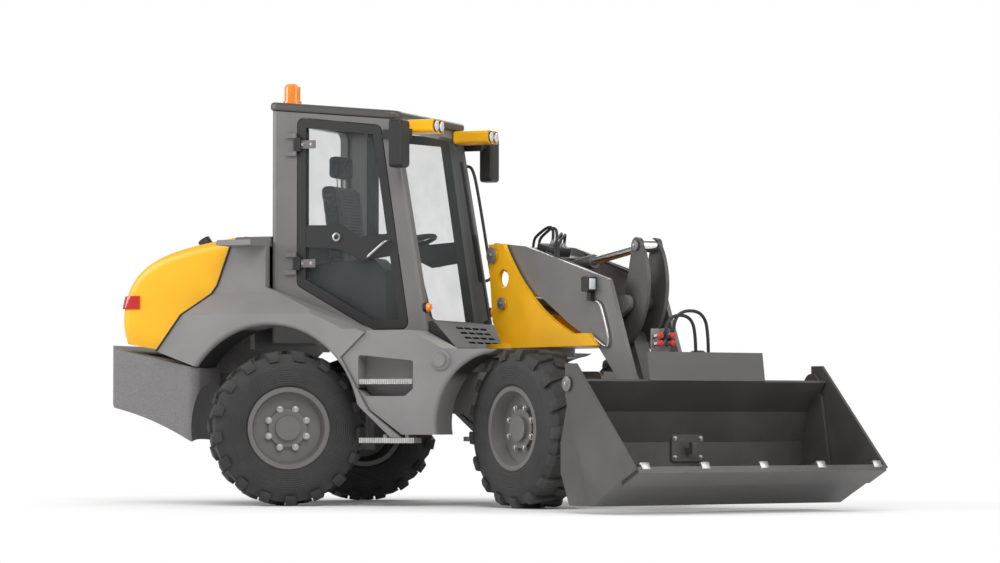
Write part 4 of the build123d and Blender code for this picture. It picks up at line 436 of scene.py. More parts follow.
def make_finishes(colours):
    """Every finish of the machine, by its name."""
    FINISHES.update({
        "yellow_paint": paint("Yellow_Enamel", colours.yellow, 0.36, coat=0.12),
        "grey_paint": paint("Grey_Enamel", colours.grey, 0.42),
        "tool_paint": paint("Tool_Enamel", colours.tool, 0.45),
        # the side panels carry black painted shade inside the wheel arches
        "grey_panel": moulded("Grey_Moulding", colours.moulding, 0.48, 0.0005, arches=True),
        "cast_grey": cast("Grey_Casting", colours.casting, 0.58),
        "rim_grey": paint("Rim_Enamel", colours.rim, 0.45),
        "black_plastic": moulded("Black_Moulding", colours.black, 0.5, 0.0003),
        "chrome_rod": bare_metal("Hard_Chrome", (0.80, 0.80, 0.79), 0.12),
        "steel": bare_metal("Bright_Steel", (0.52, 0.51, 0.50), 0.35),
        "step_alloy": ribbed_alloy("Step_Alloy"),
        "cab_glass": clear_glass("Cab_Glass", (0.16, 0.19, 0.19)),
        "mirror_glass": bare_metal("Mirror_Glass", (0.75, 0.77, 0.78), 0.04),
        "amber_lens": lens("Amber_Lens", (1.0, 0.28, 0.01), 0.25),
        "red_lens": lens("Red_Lens", (0.62, 0.02, 0.015), 0.10),
        "clear_lens": lens("Clear_Lens", (0.80, 0.82, 0.85), 0.05),
        "seat_fabric": woven("Woven_Cloth", (0.035, 0.035, 0.038)),
        "red_cap": moulded("Red_Cap", (0.55, 0.03, 0.02), 0.4),
        "hose": moulded("Hose_Rubber", (0.020, 0.020, 0.021), 0.55, 0.0004),
    })


class LOADER_OT_finishes(Operator):
    """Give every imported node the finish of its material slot"""
    bl_idname = "loader.finishes"
    bl_label = "Finishes"

    def execute(self, context):
        colours = context.scene.loader_colours
        make_finishes(colours)
        for corner in CORNERS:
            FINISHES["tyre_" + corner] = tyre_rubber("Tyre_Rubber_" + corner, tuple(colours.rubber),
                                                     JOINTS["roll_" + corner]["pos_m"], wheel_turn(corner))
        slots = {part["node"]: part["material_slot"] for part in frame["record"]["subparts"]}
        for name, node in frame["nodes"].items():
            finish = name if name in FINISHES else OWN_FINISH.get(name, slots[name])
            node.data.materials.clear()
            node.data.materials.append(FINISHES[finish])
        return {"FINISHED"}


SHARP_ANGLE = math.radians(32)  # faces that meet at a larger angle keep a sharp edge


def add_mesh(name, data, finish, body):
    """Make an object of a mesh that rides on a body; its slot is its finish's."""
    piece = bpy.data.objects.new(name, data)
    bpy.context.collection.objects.link(piece)
    data.materials.clear()
    data.materials.append(FINISHES[finish])
    data.shade_smooth()
    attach(piece, body)
    return piece


def add_piece(name, mesh, finish, body):
    """Make an object of a bmesh that rides on a body, with its corners sharp."""
    bmesh.ops.recalc_face_normals(mesh, faces=mesh.faces)
    data = bpy.data.meshes.new(name)
    mesh.to_mesh(data)
    mesh.free()
    piece = add_mesh(name, data, finish, body)
    data.set_sharp_from_angle(angle=SHARP_ANGLE)
    return piece


def edges_of(verts):
    """The edges at some corners, each once and in a fixed order."""
    return list(dict.fromkeys(line for vert in verts for line in vert.link_edges))


def round_edges(mesh, lines, size, segments=2):
    bmesh.ops.bevel(mesh, geom=lines, offset=size, segments=segments, profile=0.5, affect="EDGES",
                    material=-1)


def raise_face(mesh, points, rise):
    """Draw a flat outline, raise it into a solid and return the raised corners."""
    face = mesh.faces.new([mesh.verts.new(point) for point in points])
    raised = bmesh.ops.extrude_face_region(mesh, geom=[face], use_keep_orig=True)["geom"]
    top = [item for item in raised if isinstance(item, bmesh.types.BMVert)]
    bmesh.ops.translate(mesh, verts=top, vec=rise)
    return top


def add_disc(mesh, matrix, radius, depth, segments=32, top=None, edge=0.0):
    """A turned disc or cone whose foot stands at the matrix's origin, with a broken top edge."""
    made = bmesh.ops.create_cone(mesh, cap_ends=True, segments=segments, radius1=radius,
                                 radius2=radius if top is None else top, depth=depth,
                                 matrix=lifted(matrix, depth / 2))
    if edge:
        crown = matrix @ Vector((0, 0, depth))
        out = (matrix.to_3x3() @ UP).normalized()
        rim = [line for line in edges_of(made["verts"])
               if all(abs((corner.co - crown).dot(out)) < 1e-5 for corner in line.verts)]
        round_edges(mesh, rim, edge)


def add_block(mesh, matrix, size, edge, segments=2):
    """A block about the matrix's origin, with rounded edges."""
    made = bmesh.ops.create_cube(mesh, size=1.0, matrix=matrix @ Matrix.Diagonal((*size, 1.0)))
    round_edges(mesh, edges_of(made["verts"]), edge, segments)


def add_bolt(mesh, matrix, size):
    """A hexagon head on its washer."""
    washer = size * 0.2
    add_disc(mesh, matrix, size * 1.35, washer, 16)
    add_disc(mesh, lifted(matrix, washer), size, size * 0.75, 6, edge=size * 0.12)


def add_pin_caps(name, body, pins, depth, edge, bolt):
    """A cap and its bolt on both ends of cross pins given as ahead, height, half length and radius."""
    caps, bolts = bmesh.new(), bmesh.new()
    for ahead, z, half, radius in pins:
        for side in SIDES.values():
            spot = set_at(on_arm(ahead, side * half, z), ARM_LEFT * side)
            add_disc(caps, spot, radius, depth, 40, edge=edge)
            add_bolt(bolts, lifted(spot, depth), bolt)
    add_piece(name + "_Caps", caps, "grey_paint", body)
    add_piece(name + "_Bolts", bolts, "steel", body)


def add_tube(name, points, radius, finish, body, straight=False):
    """A pipe or hose along a smooth route, or a strip along a straight-sided one, as a mesh."""
    curve = bpy.data.curves.new(name, "CURVE")
    curve.dimensions = "3D"
    curve.bevel_depth = radius
    curve.bevel_resolution = 2
    curve.use_fill_caps = True
    curve.resolution_u = 8
    spline = curve.splines.new("POLY" if straight else "NURBS")
    spline.points.add(len(points) - 1)
    for knot, point in zip(spline.points, points):
        knot.co = (*point, 1.0)
    spline.order_u = 3
    spline.use_endpoint_u = True
    route = bpy.data.objects.new(name + "_route", curve)
    bpy.context.collection.objects.link(route)
    data = bpy.data.meshes.new_from_object(route.evaluated_get(bpy.context.evaluated_depsgraph_get()))
    bpy.data.objects.remove(route)
    bpy.data.curves.remove(curve)
    data.name = name
    add_mesh(name, data, finish, body)


class LOADER_OT_tyres(Operator):
    """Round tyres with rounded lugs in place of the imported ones, which have flats"""
    bl_idname = "loader.tyres"
    bl_label = "Tyres"
    spin_steps = 96
    lug_root = 0.045  # how deep a lug reaches below the crown
    heel_length = 0.022  # end of a lug that slopes down to the sidewall
    heel_drop = 0.040
    rounded_depth = 0.03  # edges that lie further below the crown stay sharp

    def execute(self, context):
        sizes = context.scene.loader_tyre
        for corner in CORNERS:
            first = 0.0 if corner.endswith("left") else 0.5
            mesh = bmesh.new()
            self.carcass(mesh, sizes)
            for index in range(sizes.lugs):
                self.lug(mesh, sizes, 1, index + first)
                self.lug(mesh, sizes, -1, index + 0.5 - first)
            turn = Matrix.Rotation(wheel_turn(corner), 4, "Z")
            wheel = Matrix.Translation(JOINTS["roll_" + corner]["pos_m"]) @ turn
            bmesh.ops.transform(mesh, matrix=wheel, verts=mesh.verts)
            node = "tyre_" + corner
            tyre = add_piece("Lugged_Tyre_" + corner, mesh, node, "wheel_" + corner)
            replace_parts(tyre, node)
        return {"FINISHED"}

    def carcass(self, mesh, sizes):
        """Spin the tyre's section, drawn from its seat to its crown, about the axle."""
        half, crown, seat = sizes.half_width, sizes.crown, sizes.seat
        wall = [(half - 0.028, seat), (half - 0.028, seat + 0.0213), (half - 0.018, seat + 0.024),
                (half - 0.006, seat + 0.038), (half - 0.001, seat + 0.08), (half, seat + 0.128),
                (half - 0.007, crown - 0.078), (half - 0.020, crown - 0.046), (half - 0.042, crown - 0.005),
                (half * 0.4, crown)]
        section = [mesh.verts.new((0, y, r)) for y, r in wall + [(-y, r) for y, r in wall[::-1]]]
        lines = [mesh.edges.new(pair) for pair in zip(section, section[1:] + section[:1])]
        bmesh.ops.spin(mesh, geom=section + lines, cent=(0, 0, 0), axis=(0, 1, 0), angle=math.tau,
                       steps=self.spin_steps, use_merge=True)

    def lug(self, mesh, sizes, row, step):
        """One lug: drawn flat with its length across the tread, rounded, then wrapped round the tyre."""
        outer = sizes.half_width - 0.005
        block = bmesh.new()
        plan = ((-0.026, -0.016), (0.026, -0.016), (0.085, outer), (0.007, outer))
        foot = sizes.crown - self.lug_root
        top = raise_face(block, [(x, y, foot) for x, y in plan],
                         (0, 0, sizes.radius - sizes.crown + self.lug_root))
        bmesh.ops.bisect_plane(block, geom=block.verts[:] + block.edges[:] + block.faces[:],
                               plane_co=(0, outer - self.heel_length, 0), plane_no=(0, 1, 0))
        heel = [vert for vert in top if vert.co.y > outer - self.heel_length / 2]
        bmesh.ops.translate(block, verts=heel, vec=(0, 0, -self.heel_drop))
        low = sizes.crown - self.rounded_depth
        round_edges(block, [line for line in block.edges
                            if (line.verts[0].co.z + line.verts[1].co.z) / 2 > low], sizes.edge)
        for vert in block.verts:
            angle = sizes.lean + step * math.tau / sizes.lugs + vert.co.x / sizes.radius
            radius = vert.co.z
            vert.co = (radius * math.sin(angle), row * vert.co.y, radius * math.cos(angle))
        data = bpy.data.meshes.new("lug")
        block.to_mesh(data)
        block.free()
        mesh.from_mesh(data)
        bpy.data.meshes.remove(data)


class LOADER_OT_wheel_nuts(Operator):
    """Ring of nuts on each wheel disc"""
    bl_idname = "loader.wheel_nuts"
    bl_label = "Wheel Nuts"
    near = 0.03  # how far from the ring the disc's face is measured

    def execute(self, context):
        sizes = context.scene.loader_fittings
        for corner in CORNERS:
            joint = JOINTS["roll_" + corner]
            middle = Vector(joint["pos_m"])
            out = Vector(joint["axis"]) * SIDES[corner.split("_")[1]]
            face = self.disc_face(frame["nodes"]["rim_" + corner], middle, out, sizes.nut_circle)
            nuts = bmesh.new()
            for index in range(sizes.nut_count):
                angle = math.tau * (index + 0.5) / sizes.nut_count
                foot = (sizes.nut_circle * math.cos(angle), sizes.nut_circle * math.sin(angle), face)
                add_bolt(nuts, set_at(middle, out) @ Matrix.Translation(foot), sizes.nut_size)
            add_piece("Wheel_Nuts_" + corner, nuts, "steel", "wheel_" + corner)
        return {"FINISHED"}

    def disc_face(self, node, middle, out, radius):
        """How far out the wheel disc reaches at a radius from the axle."""
        arms = [vert.co - middle for vert in node.data.vertices]
        return max(arm.dot(out) for arm in arms
                   if abs((arm - out * arm.dot(out)).length - radius) < self.near)


class LOADER_OT_lamps(Operator):
    """Lenses in their bezels: work lamps on cab and boom, and direction indicators"""
    bl_idname = "loader.lamps"
    bl_label = "Lamps"
    pod_front = (0.09, 0.473, 2.552)  # places on the left: pods on the roof, boom and front pillars
    pod_lamps = (-0.043, 0.043)
    boom_front = (1.091, 0.255, 1.458)
    pillar_foot = (0.028, 0.555, 1.33)

    def execute(self, context):
        self.work_lamps()
        self.boom_lamps()
        self.indicators()
        return {"FINISHED"}

    def work_lamps(self):
        """Two round lamps in each pod on the roof."""
        bezels, lenses = bmesh.new(), bmesh.new()
        radius, rim = 0.034, 0.007
        x, y, z = self.pod_front
        for side in SIDES.values():
            for offset in self.pod_lamps:
                spot = set_at(on_body(x, side * y + offset, z), AHEAD)
                add_disc(bezels, spot, radius * 1.18, rim, edge=0.002)
                add_disc(lenses, lifted(spot, rim), radius, 0.009, top=radius * 0.7, edge=0.003)
        add_piece("Work_Lamp_Bezels", bezels, "black_plastic", "chassis")
        add_piece("Work_Lamp_Lenses", lenses, "clear_lens", "chassis")

    def boom_lamps(self):
        """A square lamp on each side of the boom."""
        bezels, lenses = bmesh.new(), bmesh.new()
        ahead, left, z = self.boom_front
        for side in SIDES.values():
            spot = set_at(on_arm(ahead, side * left, z), ARM_AHEAD)
            add_block(bezels, spot, (0.068, 0.094, 0.014), 0.005)
            add_block(lenses, lifted(spot, 0.005), (0.050, 0.072, 0.010), 0.004)
        add_piece("Boom_Lamp_Bezels", bezels, "black_plastic", "boom")
        add_piece("Boom_Lamp_Lenses", lenses, "clear_lens", "boom")

    def indicators(self):
        """A round indicator at the foot of each front pillar."""
        feet, lenses = bmesh.new(), bmesh.new()
        height = 0.022
        x, y, z = self.pillar_foot
        for side in SIDES.values():
            spot = set_at(on_body(x, side * y, z), AHEAD)
            add_disc(feet, spot, 0.034, height, 24, edge=0.003)
            add_disc(lenses, lifted(spot, height), 0.031, 0.026, 24, top=0.026, edge=0.006)
        add_piece("Indicator_Feet", feet, "black_plastic", "chassis")
        add_piece("Indicator_Lenses", lenses, "amber_lens", "chassis")


class LOADER_OT_cab_fittings(Operator):
    """Door rails, hinge straps, locks and handles, mirrors' glass, wiper, hood seals and grab rail"""
    bl_idname = "loader.cab_fittings"
    bl_label = "Cab Fittings"
    hood_seam = ((-1.372, 0.654, 1.800), (-1.4735, 0.654, 1.530), (-1.484, 0.654, 1.500),
                 (-1.530, 0.654, 1.440), (-1.645, 0.884, 1.290), (-1.832, 0.884, 1.047))
    grab_rail = ((-0.215, 0.592, 2.37), (-0.190, 0.640, 2.37), (-0.140, 0.645, 2.36), (-0.100, 0.645, 2.20),
                 (0.000, 0.645, 1.62), (0.010, 0.640, 1.56), (-0.030, 0.592, 1.55))
    door_rail = ((-0.846, 1.900), (-0.560, 1.895), (-0.440, 1.815), (-0.172, 1.835), (-0.142, 1.690),
                 (-0.420, 1.650), (-0.600, 1.735), (-0.846, 1.750))
    door_handle = ((-0.375, 0.586, 1.662), (-0.365, 0.625, 1.668), (-0.345, 0.632, 1.685),
                   (-0.245, 0.632, 1.765), (-0.228, 0.625, 1.778), (-0.222, 0.586, 1.784))
    hinge_heights = (1.64, 2.45)

    def execute(self, context):
        for name, side in SIDES.items():
            self.door(side, "door_" + name)
        glass = bmesh.new()
        for side in SIDES.values():
            spot = set_at(on_body(-0.105, side * 0.770, 2.42), -AHEAD)
            add_block(glass, spot, (0.122, 0.288, 0.008), 0.003)
        add_piece("Mirror_Glass", glass, "mirror_glass", "chassis")
        self.wiper()
        for name, side in SIDES.items():
            seam = [on_body(x, side * y, z) for x, y, z in self.hood_seam]
            add_tube("Hood_Seal_" + name, seam, 0.007, "black_plastic", "chassis", straight=True)
        rail = [on_body(*point) for point in self.grab_rail]
        add_tube("Grab_Rail", rail, 0.011, "black_plastic", "chassis")
        return {"FINISHED"}

    def door(self, side, body):
        """What is screwed to a door: side is 1 on the left."""
        out = Vector((0, side, 0))
        rail = bmesh.new()
        raise_face(rail, [on_body(x, side * 0.5705, z) for x, z in self.door_rail], out * 0.018)
        add_piece("Mid_Rail_" + body, rail, "black_plastic", body)
        straps, bolts = bmesh.new(), bmesh.new()
        for z in self.hinge_heights:
            add_block(straps, set_at(on_body(-0.842, side * 0.594, z), out), (0.150, 0.056, 0.008), 0.003)
            for x in (-0.862, -0.795):
                add_bolt(bolts, set_at(on_body(x, side * 0.598, z), out), 0.010)
        add_piece("Hinge_Straps_" + body, straps, "grey_paint", body)
        add_piece("Hinge_Bolts_" + body, bolts, "steel", body)
        lock, key = bmesh.new(), bmesh.new()
        spot = set_at(on_body(-0.609, side * 0.588, 1.815), out)
        height = 0.012
        add_disc(lock, spot, 0.030, height, edge=0.003)
        add_disc(key, lifted(spot, height), 0.017, 0.004, 24, edge=0.001)
        add_piece("Lock_" + body, lock, "steel", body)
        add_piece("Lock_Barrel_" + body, key, "black_plastic", body)
        handle = [on_body(x, side * y, z) for x, y, z in self.door_handle]
        add_tube("Handle_" + body, handle, 0.010, "steel", body)

    def wiper(self):
        """Arm and blade on the windscreen's left."""
        arm = bmesh.new()
        lean = Vector((-0.245, 0, 1.41)).normalized()
        out = Vector((lean.z, 0, -lean.x))
        foot = on_body(0.06, 0.43, 1.19)
        add_disc(arm, set_at(foot + lean * 0.05, out), 0.028, 0.04, 24, edge=0.004)
        for along, off, size, edge in ((0.36, 0.035, (0.022, 0.62, 0.012), 0.003),  # the arm
                                       (0.78, 0.014, (0.014, 0.86, 0.022), 0.003),  # the blade
                                       (0.66, 0.026, (0.026, 0.05, 0.026), 0.004)):  # what joins them
            add_block(arm, set_at(foot + lean * along + out * off, out, lean), size, edge)
        add_piece("Wiper", arm, "black_plastic", "chassis")


class LOADER_OT_boom_fittings(Operator):
    """Pin caps, oil pipes, valve block and hoses on tower and boom"""
    bl_idname = "loader.boom_fittings"
    bl_label = "Boom Fittings"
    tower_pins = ((-0.060, 1.690, 0.278, 0.056), (0.060, 1.360, 0.278, 0.042))
    lever_pins = ((1.350, 1.700, 0.094, 0.034),)
    side_pipe = ((1.090, 0.216, 1.352), (1.095, 0.232, 1.350), (1.150, 0.232, 1.335), (1.185, 0.232, 1.270),
                 (1.255, 0.232, 1.095), (1.235, 0.232, 1.045), (1.190, 0.232, 1.060), (1.060, 0.232, 1.125),
                 (1.050, 0.216, 1.130))
    inner_pipe = ((0.420, 1.690), (0.560, 1.655), (0.800, 1.585), (1.020, 1.525), (1.120, 1.450))
    inner_pipe_left = 0.160
    hose_radius = 0.010
    union_height = 0.018

    def execute(self, context):
        size = context.scene.loader_fittings.bolt_size
        add_pin_caps("Tower_Pin", "tower", self.tower_pins, depth=0.010, edge=0.003, bolt=size)
        add_pin_caps("Lever_Pin", "tilt_lever", self.lever_pins, depth=0.010, edge=0.003, bolt=size * 0.8)
        for name, side in SIDES.items():
            route = [on_arm(ahead, side * left, z) for ahead, left, z in self.side_pipe]
            add_tube("Side_Pipe_" + name, route, 0.009, "steel", "boom")
            route = [on_arm(ahead, side * self.inner_pipe_left, z) for ahead, z in self.inner_pipe]
            add_tube("Inner_Pipe_" + name, route, 0.010, "black_plastic", "boom")
        self.valve()
        return {"FINISHED"}

    def valve(self):
        """Valve block on a plate between the boom's sides, with a row of unions and short hoses."""
        along = (ARM_AHEAD - UP * 0.22).normalized()
        up = along.cross(ARM_LEFT)
        middle = on_arm(0.27, 0, 1.684)
        plate, block, unions = bmesh.new(), bmesh.new(), bmesh.new()
        add_block(plate, set_at(middle, up, along), (0.373, 0.22, 0.012), 0.002)
        add_block(block, set_at(middle + up * 0.036, up, along), (0.150, 0.19, 0.060), 0.006)
        row = middle + up * 0.066 + ARM_LEFT * 0.03
        spots = [row + along * step for step in (-0.07, -0.025, 0.025, 0.07)]
        for spot in spots:
            add_disc(unions, set_at(spot, up), 0.015, self.union_height, 6, edge=0.002)
            add_disc(unions, set_at(spot + up * self.union_height, up), 0.012, 0.014, 16)
        add_piece("Valve_Plate", plate, "grey_paint", "boom")
        add_piece("Valve_Block", block, "black_plastic", "boom")
        add_piece("Valve_Unions", unions, "steel", "boom")
        for index, spot in enumerate(spots[:2]):
            rear = on_arm(-0.062, 0.060 + index * 0.045, 1.728)
            route = [rear, rear + UP * 0.075, rear + UP * 0.115 + ARM_AHEAD * 0.07,
                     spot + up * 0.115 - along * 0.06, spot + up * 0.095, spot + up * 0.02]
            add_tube("Pivot_Hose_%d" % index, route, self.hose_radius, "hose", "boom")
        for index, spot in enumerate(spots[2:]):
            front = on_arm(0.545 + index * 0.03, -self.inner_pipe_left, 1.659 - index * 0.009)
            route = [spot + up * 0.02, spot + up * 0.085, spot + up * 0.10 + along * 0.07 - ARM_LEFT * 0.05,
                     front + up * 0.07 - along * 0.05, front]
            add_tube("Pipe_Hose_%d" % index, route, self.hose_radius, "hose", "boom")


class LOADER_OT_bucket_fittings(Operator):
    """Bolts of the cutting edge and hook plate, clam pin caps, and the rack of hose couplings"""
    bl_idname = "loader.bucket_fittings"
    bl_label = "Bucket Fittings"
    edge_foot = Vector((2.108, 0.05))  # top of the cutting edge in side view: ahead, above the ground
    edge_lip = Vector((2.585, 0.28))
    teeth = 5
    first_tooth = -0.895  # its place to the left of the middle
    tooth_pitch = 0.4475
    clam_pins = ((1.870, 0.800, 0.983, 0.046),)
    nut_depth = 0.030  # quick couplings: their hexagon and their round neck
    neck_depth = 0.018
    hose_loops = ((-0.165, 0.090, 1.240), (-0.105, 0.190, 1.270))

    def execute(self, context):
        size = context.scene.loader_fittings.bolt_size
        bolts = bmesh.new()
        for left in (-0.1, 0.1):
            for z in (0.34, 0.46):
                add_bolt(bolts, set_at(on_arm(1.788, left, z), ARM_AHEAD), size)
        add_piece("Hook_Plate_Bolts", bolts, "steel", "bucket")
        add_pin_caps("Clam_Pin", "bucket", self.clam_pins, depth=0.008, edge=0.002, bolt=size)
        self.cutting_edge(size)
        self.rack()
        return {"FINISHED"}

    def cutting_edge(self, size):
        """Steel caps on the teeth, and two bolts through the cutting edge between each pair of them."""
        along = (self.edge_lip - self.edge_foot).normalized()
        up = ARM_AHEAD * -along.y + UP * along.x
        bolts, caps = bmesh.new(), bmesh.new()
        place = self.edge_lip - along * 0.095 + Vector((-along.y, along.x)) * 0.0202
        for tooth in range(self.teeth - 1):
            for share in (0.3, 0.7):
                left = self.first_tooth + (tooth + share) * self.tooth_pitch
                add_bolt(bolts, set_at(on_arm(place.x, left, place.y), up), size)
        add_piece("Edge_Bolts", bolts, "steel", "clam")
        place = self.edge_lip - along * 0.042
        for tooth in range(self.teeth):
            left = self.first_tooth + tooth * self.tooth_pitch
            middle = on_arm(place.x, left, place.y) + up * 0.024
            add_block(caps, set_at(middle, up, ARM_LEFT), (0.096, 0.068, 0.052), 0.008)
        add_piece("Tooth_Caps", caps, "steel", "clam")

    def rack(self):
        """Plate with quick couplings behind the bucket, their red caps and two hose loops."""
        plate, steel, caps = bmesh.new(), bmesh.new(), bmesh.new()
        add_block(plate, set_at(on_arm(1.728, -0.168, 0.925), ARM_AHEAD), (0.150, 0.460, 0.012), 0.005)
        for left in (-0.215, -0.120):
            for z in (1.060, 1.110):
                spot = set_at(on_arm(1.734, left, z), ARM_AHEAD)
                add_disc(steel, spot, 0.017, self.nut_depth, 6, edge=0.002)
                add_disc(steel, lifted(spot, self.nut_depth), 0.014, self.neck_depth, 24, edge=0.002)
                add_disc(caps, lifted(spot, self.nut_depth + self.neck_depth), 0.020, 0.022, 24, edge=0.004)
        add_piece("Hose_Rack", plate, "grey_paint", "bucket")
        add_piece("Quick_Couplings", steel, "steel", "bucket")
        add_piece("Coupling_Caps", caps, "red_cap", "bucket")
        for index, (near, far, top) in enumerate(self.hose_loops):
            loop = ((1.734, near, 1.085), (1.765, near, 1.095), (1.775, near + 0.03, top),
                    (1.770, far - 0.04, top), (1.760, far, 1.060), (1.740, far, 0.780), (1.737, far, 0.690))
            route = [on_arm(*point) for point in loop]
            add_tube("Rack_Hose_%d" % index, route, 0.011, "hose", "bucket")


class LOADER_OT_seat(Operator):
    """Padded seat cushion, backrest and headrest, swollen by a cloth simulation"""
    bl_idname = "loader.seat"
    bl_label = "Seat"
    swelling = 0.012
    voxel = 0.012
    pressure = 4.0
    frames = 20
    channel = 0.13  # sewn channels on both sides of the middle
    channel_half = 0.02
    channel_depth = 0.06  # share of the way to the pad's middle
    softness = 0.7

    def execute(self, context):
        for node in ("seat_cushion", "seat_back"):
            low, high = (Vector(corner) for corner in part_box(node))
            middle = (low + high) / 2
            mesh = bmesh.new()
            mesh.from_mesh(frame["nodes"][node].data)
            bmesh.ops.remove_doubles(mesh, verts=mesh.verts, dist=1e-4)
            smaller = [1 - 2 * self.swelling / (high[axis] - low[axis]) for axis in range(3)]
            bmesh.ops.scale(mesh, vec=smaller, space=Matrix.Translation(-middle), verts=mesh.verts)
            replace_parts(self.pad(context, "Padded_" + node, mesh, middle), node)
        mesh = bmesh.new()
        middle = on_body(-0.86, 0, 2.33)
        add_block(mesh, Matrix.Translation(middle), (0.085, 0.25, 0.15), 0.025, 3)
        self.pad(context, "Padded_Headrest", mesh, middle)
        posts = bmesh.new()
        for side in SIDES.values():
            add_disc(posts, Matrix.Translation(on_body(-0.86, side * 0.06, 2.17)), 0.007, 0.12, 12)
        add_piece("Headrest_Posts", posts, "steel", "chassis")
        return {"FINISHED"}

    def pad(self, context, name, mesh, middle):
        """Turn a closed shape into a sewn pad."""
        piece = add_piece(name, mesh, "seat_fabric", "chassis")
        remesh = piece.modifiers.new("remesh", "REMESH")
        remesh.mode = "VOXEL"
        remesh.voxel_size = self.voxel
        self.bake(context, piece)
        self.swell(context, piece)
        self.crease(piece, middle)
        smooth = piece.modifiers.new("smooth", "SUBSURF")
        smooth.levels = 1
        smooth.render_levels = 1
        piece.data.shade_smooth()
        return piece

    def bake(self, context, piece):
        """Apply what the modifiers make of a piece."""
        shape = piece.evaluated_get(context.evaluated_depsgraph_get())
        data = bpy.data.meshes.new_from_object(shape)
        data.materials.clear()
        data.materials.append(FINISHES["seat_fabric"])
        piece.modifiers.clear()
        piece.data = data

    def swell(self, context, piece):
        """Blow the cover up a little, with no point moved further than the room that it has."""
        before = [vert.co.copy() for vert in piece.data.vertices]
        cloth = piece.modifiers.new("cloth", "CLOTH")
        cloth.settings.use_pressure = True
        cloth.settings.uniform_pressure_force = self.pressure
        cloth.settings.effector_weights.gravity = 0.0
        cloth.point_cache.frame_start = 1
        cloth.point_cache.frame_end = self.frames
        for step in range(1, self.frames + 1):
            context.scene.frame_set(step)
        self.bake(context, piece)
        context.scene.frame_set(1)
        for vert, start in zip(piece.data.vertices, before):
            move = vert.co - start
            if move.length > self.swelling:
                vert.co = start + move * (self.swelling / move.length)

    def crease(self, piece, middle):
        """Two sewn channels along the pad."""
        for vert in piece.data.vertices:
            for side in (-self.channel, self.channel):
                away = abs(vert.co.y - middle.y - side)
                if away < self.channel_half:
                    vert.co += (middle - vert.co) * self.channel_depth * (1 - away / self.channel_half) ** 2


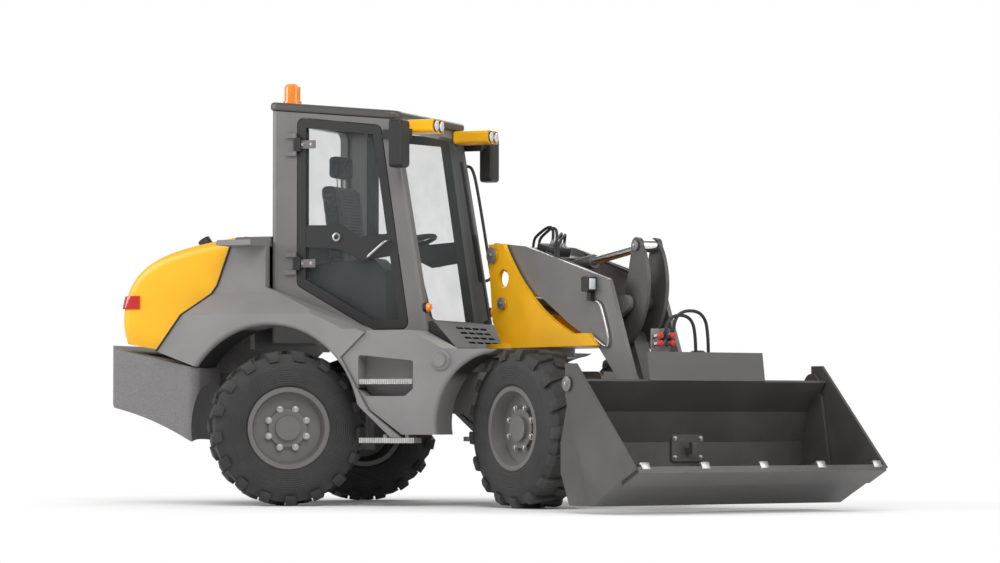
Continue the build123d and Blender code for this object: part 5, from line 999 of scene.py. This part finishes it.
class LOADER_OT_stage(Operator):
    """Pale floor, white surroundings, soft lights and the camera"""
    bl_idname = "loader.stage"
    bl_label = "Stage"
    lights = (("Key_Light", (3.5, -7.0, 7.5), 6.0, 520.0), ("Front_Light", (8.0, -2.0, 4.5), 5.0, 170.0),
              ("Rear_Light", (-7.0, -4.0, 4.5), 5.0, 340.0), ("Rim_Light", (-1.0, 7.0, 7.0), 6.0, 300.0))
    aim_height = 1.0
    floor_size = 60.0
    fade_start = 1.2  # where the floor begins to go to white, and where it is white
    fade_end = 3.2
    ambient = 0.38

    def execute(self, context):
        self.floor()
        self.surroundings(context)
        middle = on_body(0, 0, 0)
        for name, spot, size, watts in self.lights:
            self.lamp(name, middle + Vector(spot), middle + UP * self.aim_height, size, watts)
        self.camera(context, middle)
        return {"FINISHED"}

    def floor(self):
        mesh = bmesh.new()
        bmesh.ops.create_grid(mesh, x_segments=1, y_segments=1, size=self.floor_size)
        data = bpy.data.meshes.new("Floor")
        mesh.to_mesh(data)
        mesh.free()
        floor = bpy.data.objects.new("Floor", data)
        bpy.context.collection.objects.link(floor)
        finish = Finish("Pale_Floor", roughness=0.9)
        finish.feed("Base Color", (0.93, 0.93, 0.93, 1))
        data.materials.append(finish.material)
        self.fade(finish)

    def fade(self, finish):
        """Let the floor go to white away from the machine, where no shadow lies."""
        rays = finish.node("ShaderNodeLightPath")
        seen = Value(finish, rays.outputs["Is Camera Ray"]).larger(rays.outputs["Is Glossy Ray"])
        own = finish.centred(on_body(0.4, -0.2, 0))
        far = (finish.axis(0, own) ** 2 * 0.5 + finish.axis(1, own) ** 2) ** 0.5
        white = finish.node("ShaderNodeEmission", {}, {"Color": (1, 1, 1, 1), "Strength": 1.0})
        mix = finish.node("ShaderNodeMixShader", {},
                          {0: finish.spread(far, self.fade_start, self.fade_end) * seen,
                           1: finish.shader.outputs[0], 2: white.outputs[0]})
        output = next(node for node in finish.tree.nodes if node.type == "OUTPUT_MATERIAL")
        finish.join(output.inputs["Surface"], mix.outputs[0])

    def surroundings(self, context):
        """White where the camera sees them, and dimmer as a light."""
        world = bpy.data.worlds.new("Studio")
        context.scene.world = world
        world.use_nodes = True
        nodes = Nodes(world.node_tree)
        rays = nodes.node("ShaderNodeLightPath")
        seen = Value(nodes, rays.outputs["Is Camera Ray"]).larger(rays.outputs["Is Transmission Ray"])
        background = nodes.tree.nodes["Background"]
        nodes.join(background.inputs["Color"], (1, 1, 1, 1))
        nodes.join(background.inputs["Strength"], nodes.spread(seen, 0.0, 1.0, self.ambient, 1.0))

    def lamp(self, name, place, target, size, watts):
        light = bpy.data.lights.new(name, "AREA")
        light.size = size
        light.energy = watts
        lamp = bpy.data.objects.new(name, light)
        lamp.location = place
        lamp.rotation_euler = (target - place).to_track_quat("-Z", "Y").to_euler()
        bpy.context.collection.objects.link(lamp)

    def camera(self, context, middle):
        view = context.scene.loader_view
        data = bpy.data.cameras.new("Camera")
        data.lens = view.lens
        data.sensor_width = 36.0
        camera = bpy.data.objects.new("Camera", data)
        back = Vector((math.sin(view.yaw), -math.cos(view.yaw), 0))
        camera.location = middle + back * view.distance + UP * view.height
        look = Matrix.Rotation(-view.pan, 3, "Z") @ -back + UP * math.tan(view.tilt)
        camera.rotation_euler = look.to_track_quat("-Z", "Y").to_euler()
        bpy.context.collection.objects.link(camera)
        context.scene.camera = camera


class LOADER_PT_panel(Panel):
    """Sidebar panel with the machine's settings and steps"""
    bl_idname = "LOADER_PT_panel"
    bl_label = "Swing Loader"
    bl_space_type = "VIEW_3D"
    bl_region_type = "UI"
    bl_category = "Loader"

    def draw(self, context):
        for group in (getattr(context.scene, name) for name in SETTINGS):
            for name in group.bl_rna.properties.keys():
                if name not in ("rna_type", "name"):
                    self.layout.prop(group, name)
        for step in STEPS:
            self.layout.operator(step.bl_idname)


STEPS = (LOADER_OT_finishes, LOADER_OT_tyres, LOADER_OT_wheel_nuts, LOADER_OT_lamps, LOADER_OT_cab_fittings,
         LOADER_OT_boom_fittings, LOADER_OT_bucket_fittings, LOADER_OT_seat, LOADER_OT_stage)
SETTINGS = {"loader_colours": LoaderColours, "loader_fittings": LoaderFittings, "loader_tyre": LoaderTyre,
            "loader_view": LoaderView}


def register():
    for item in (*SETTINGS.values(), *STEPS, LOADER_PT_panel):
        bpy.utils.register_class(item)
    for name, group in SETTINGS.items():
        setattr(bpy.types.Scene, name, PointerProperty(type=group))


def unregister():
    for name in SETTINGS:
        delattr(bpy.types.Scene, name)
    for item in (LOADER_PT_panel, *STEPS, *SETTINGS.values()):
        bpy.utils.unregister_class(item)


def main():
    register()
    bpy.context.scene.view_settings.view_transform = "Standard"
    for step in STEPS:
        group, name = step.bl_idname.split(".")
        getattr(getattr(bpy.ops, group), name)()


if __name__ == "__main__":
    main()
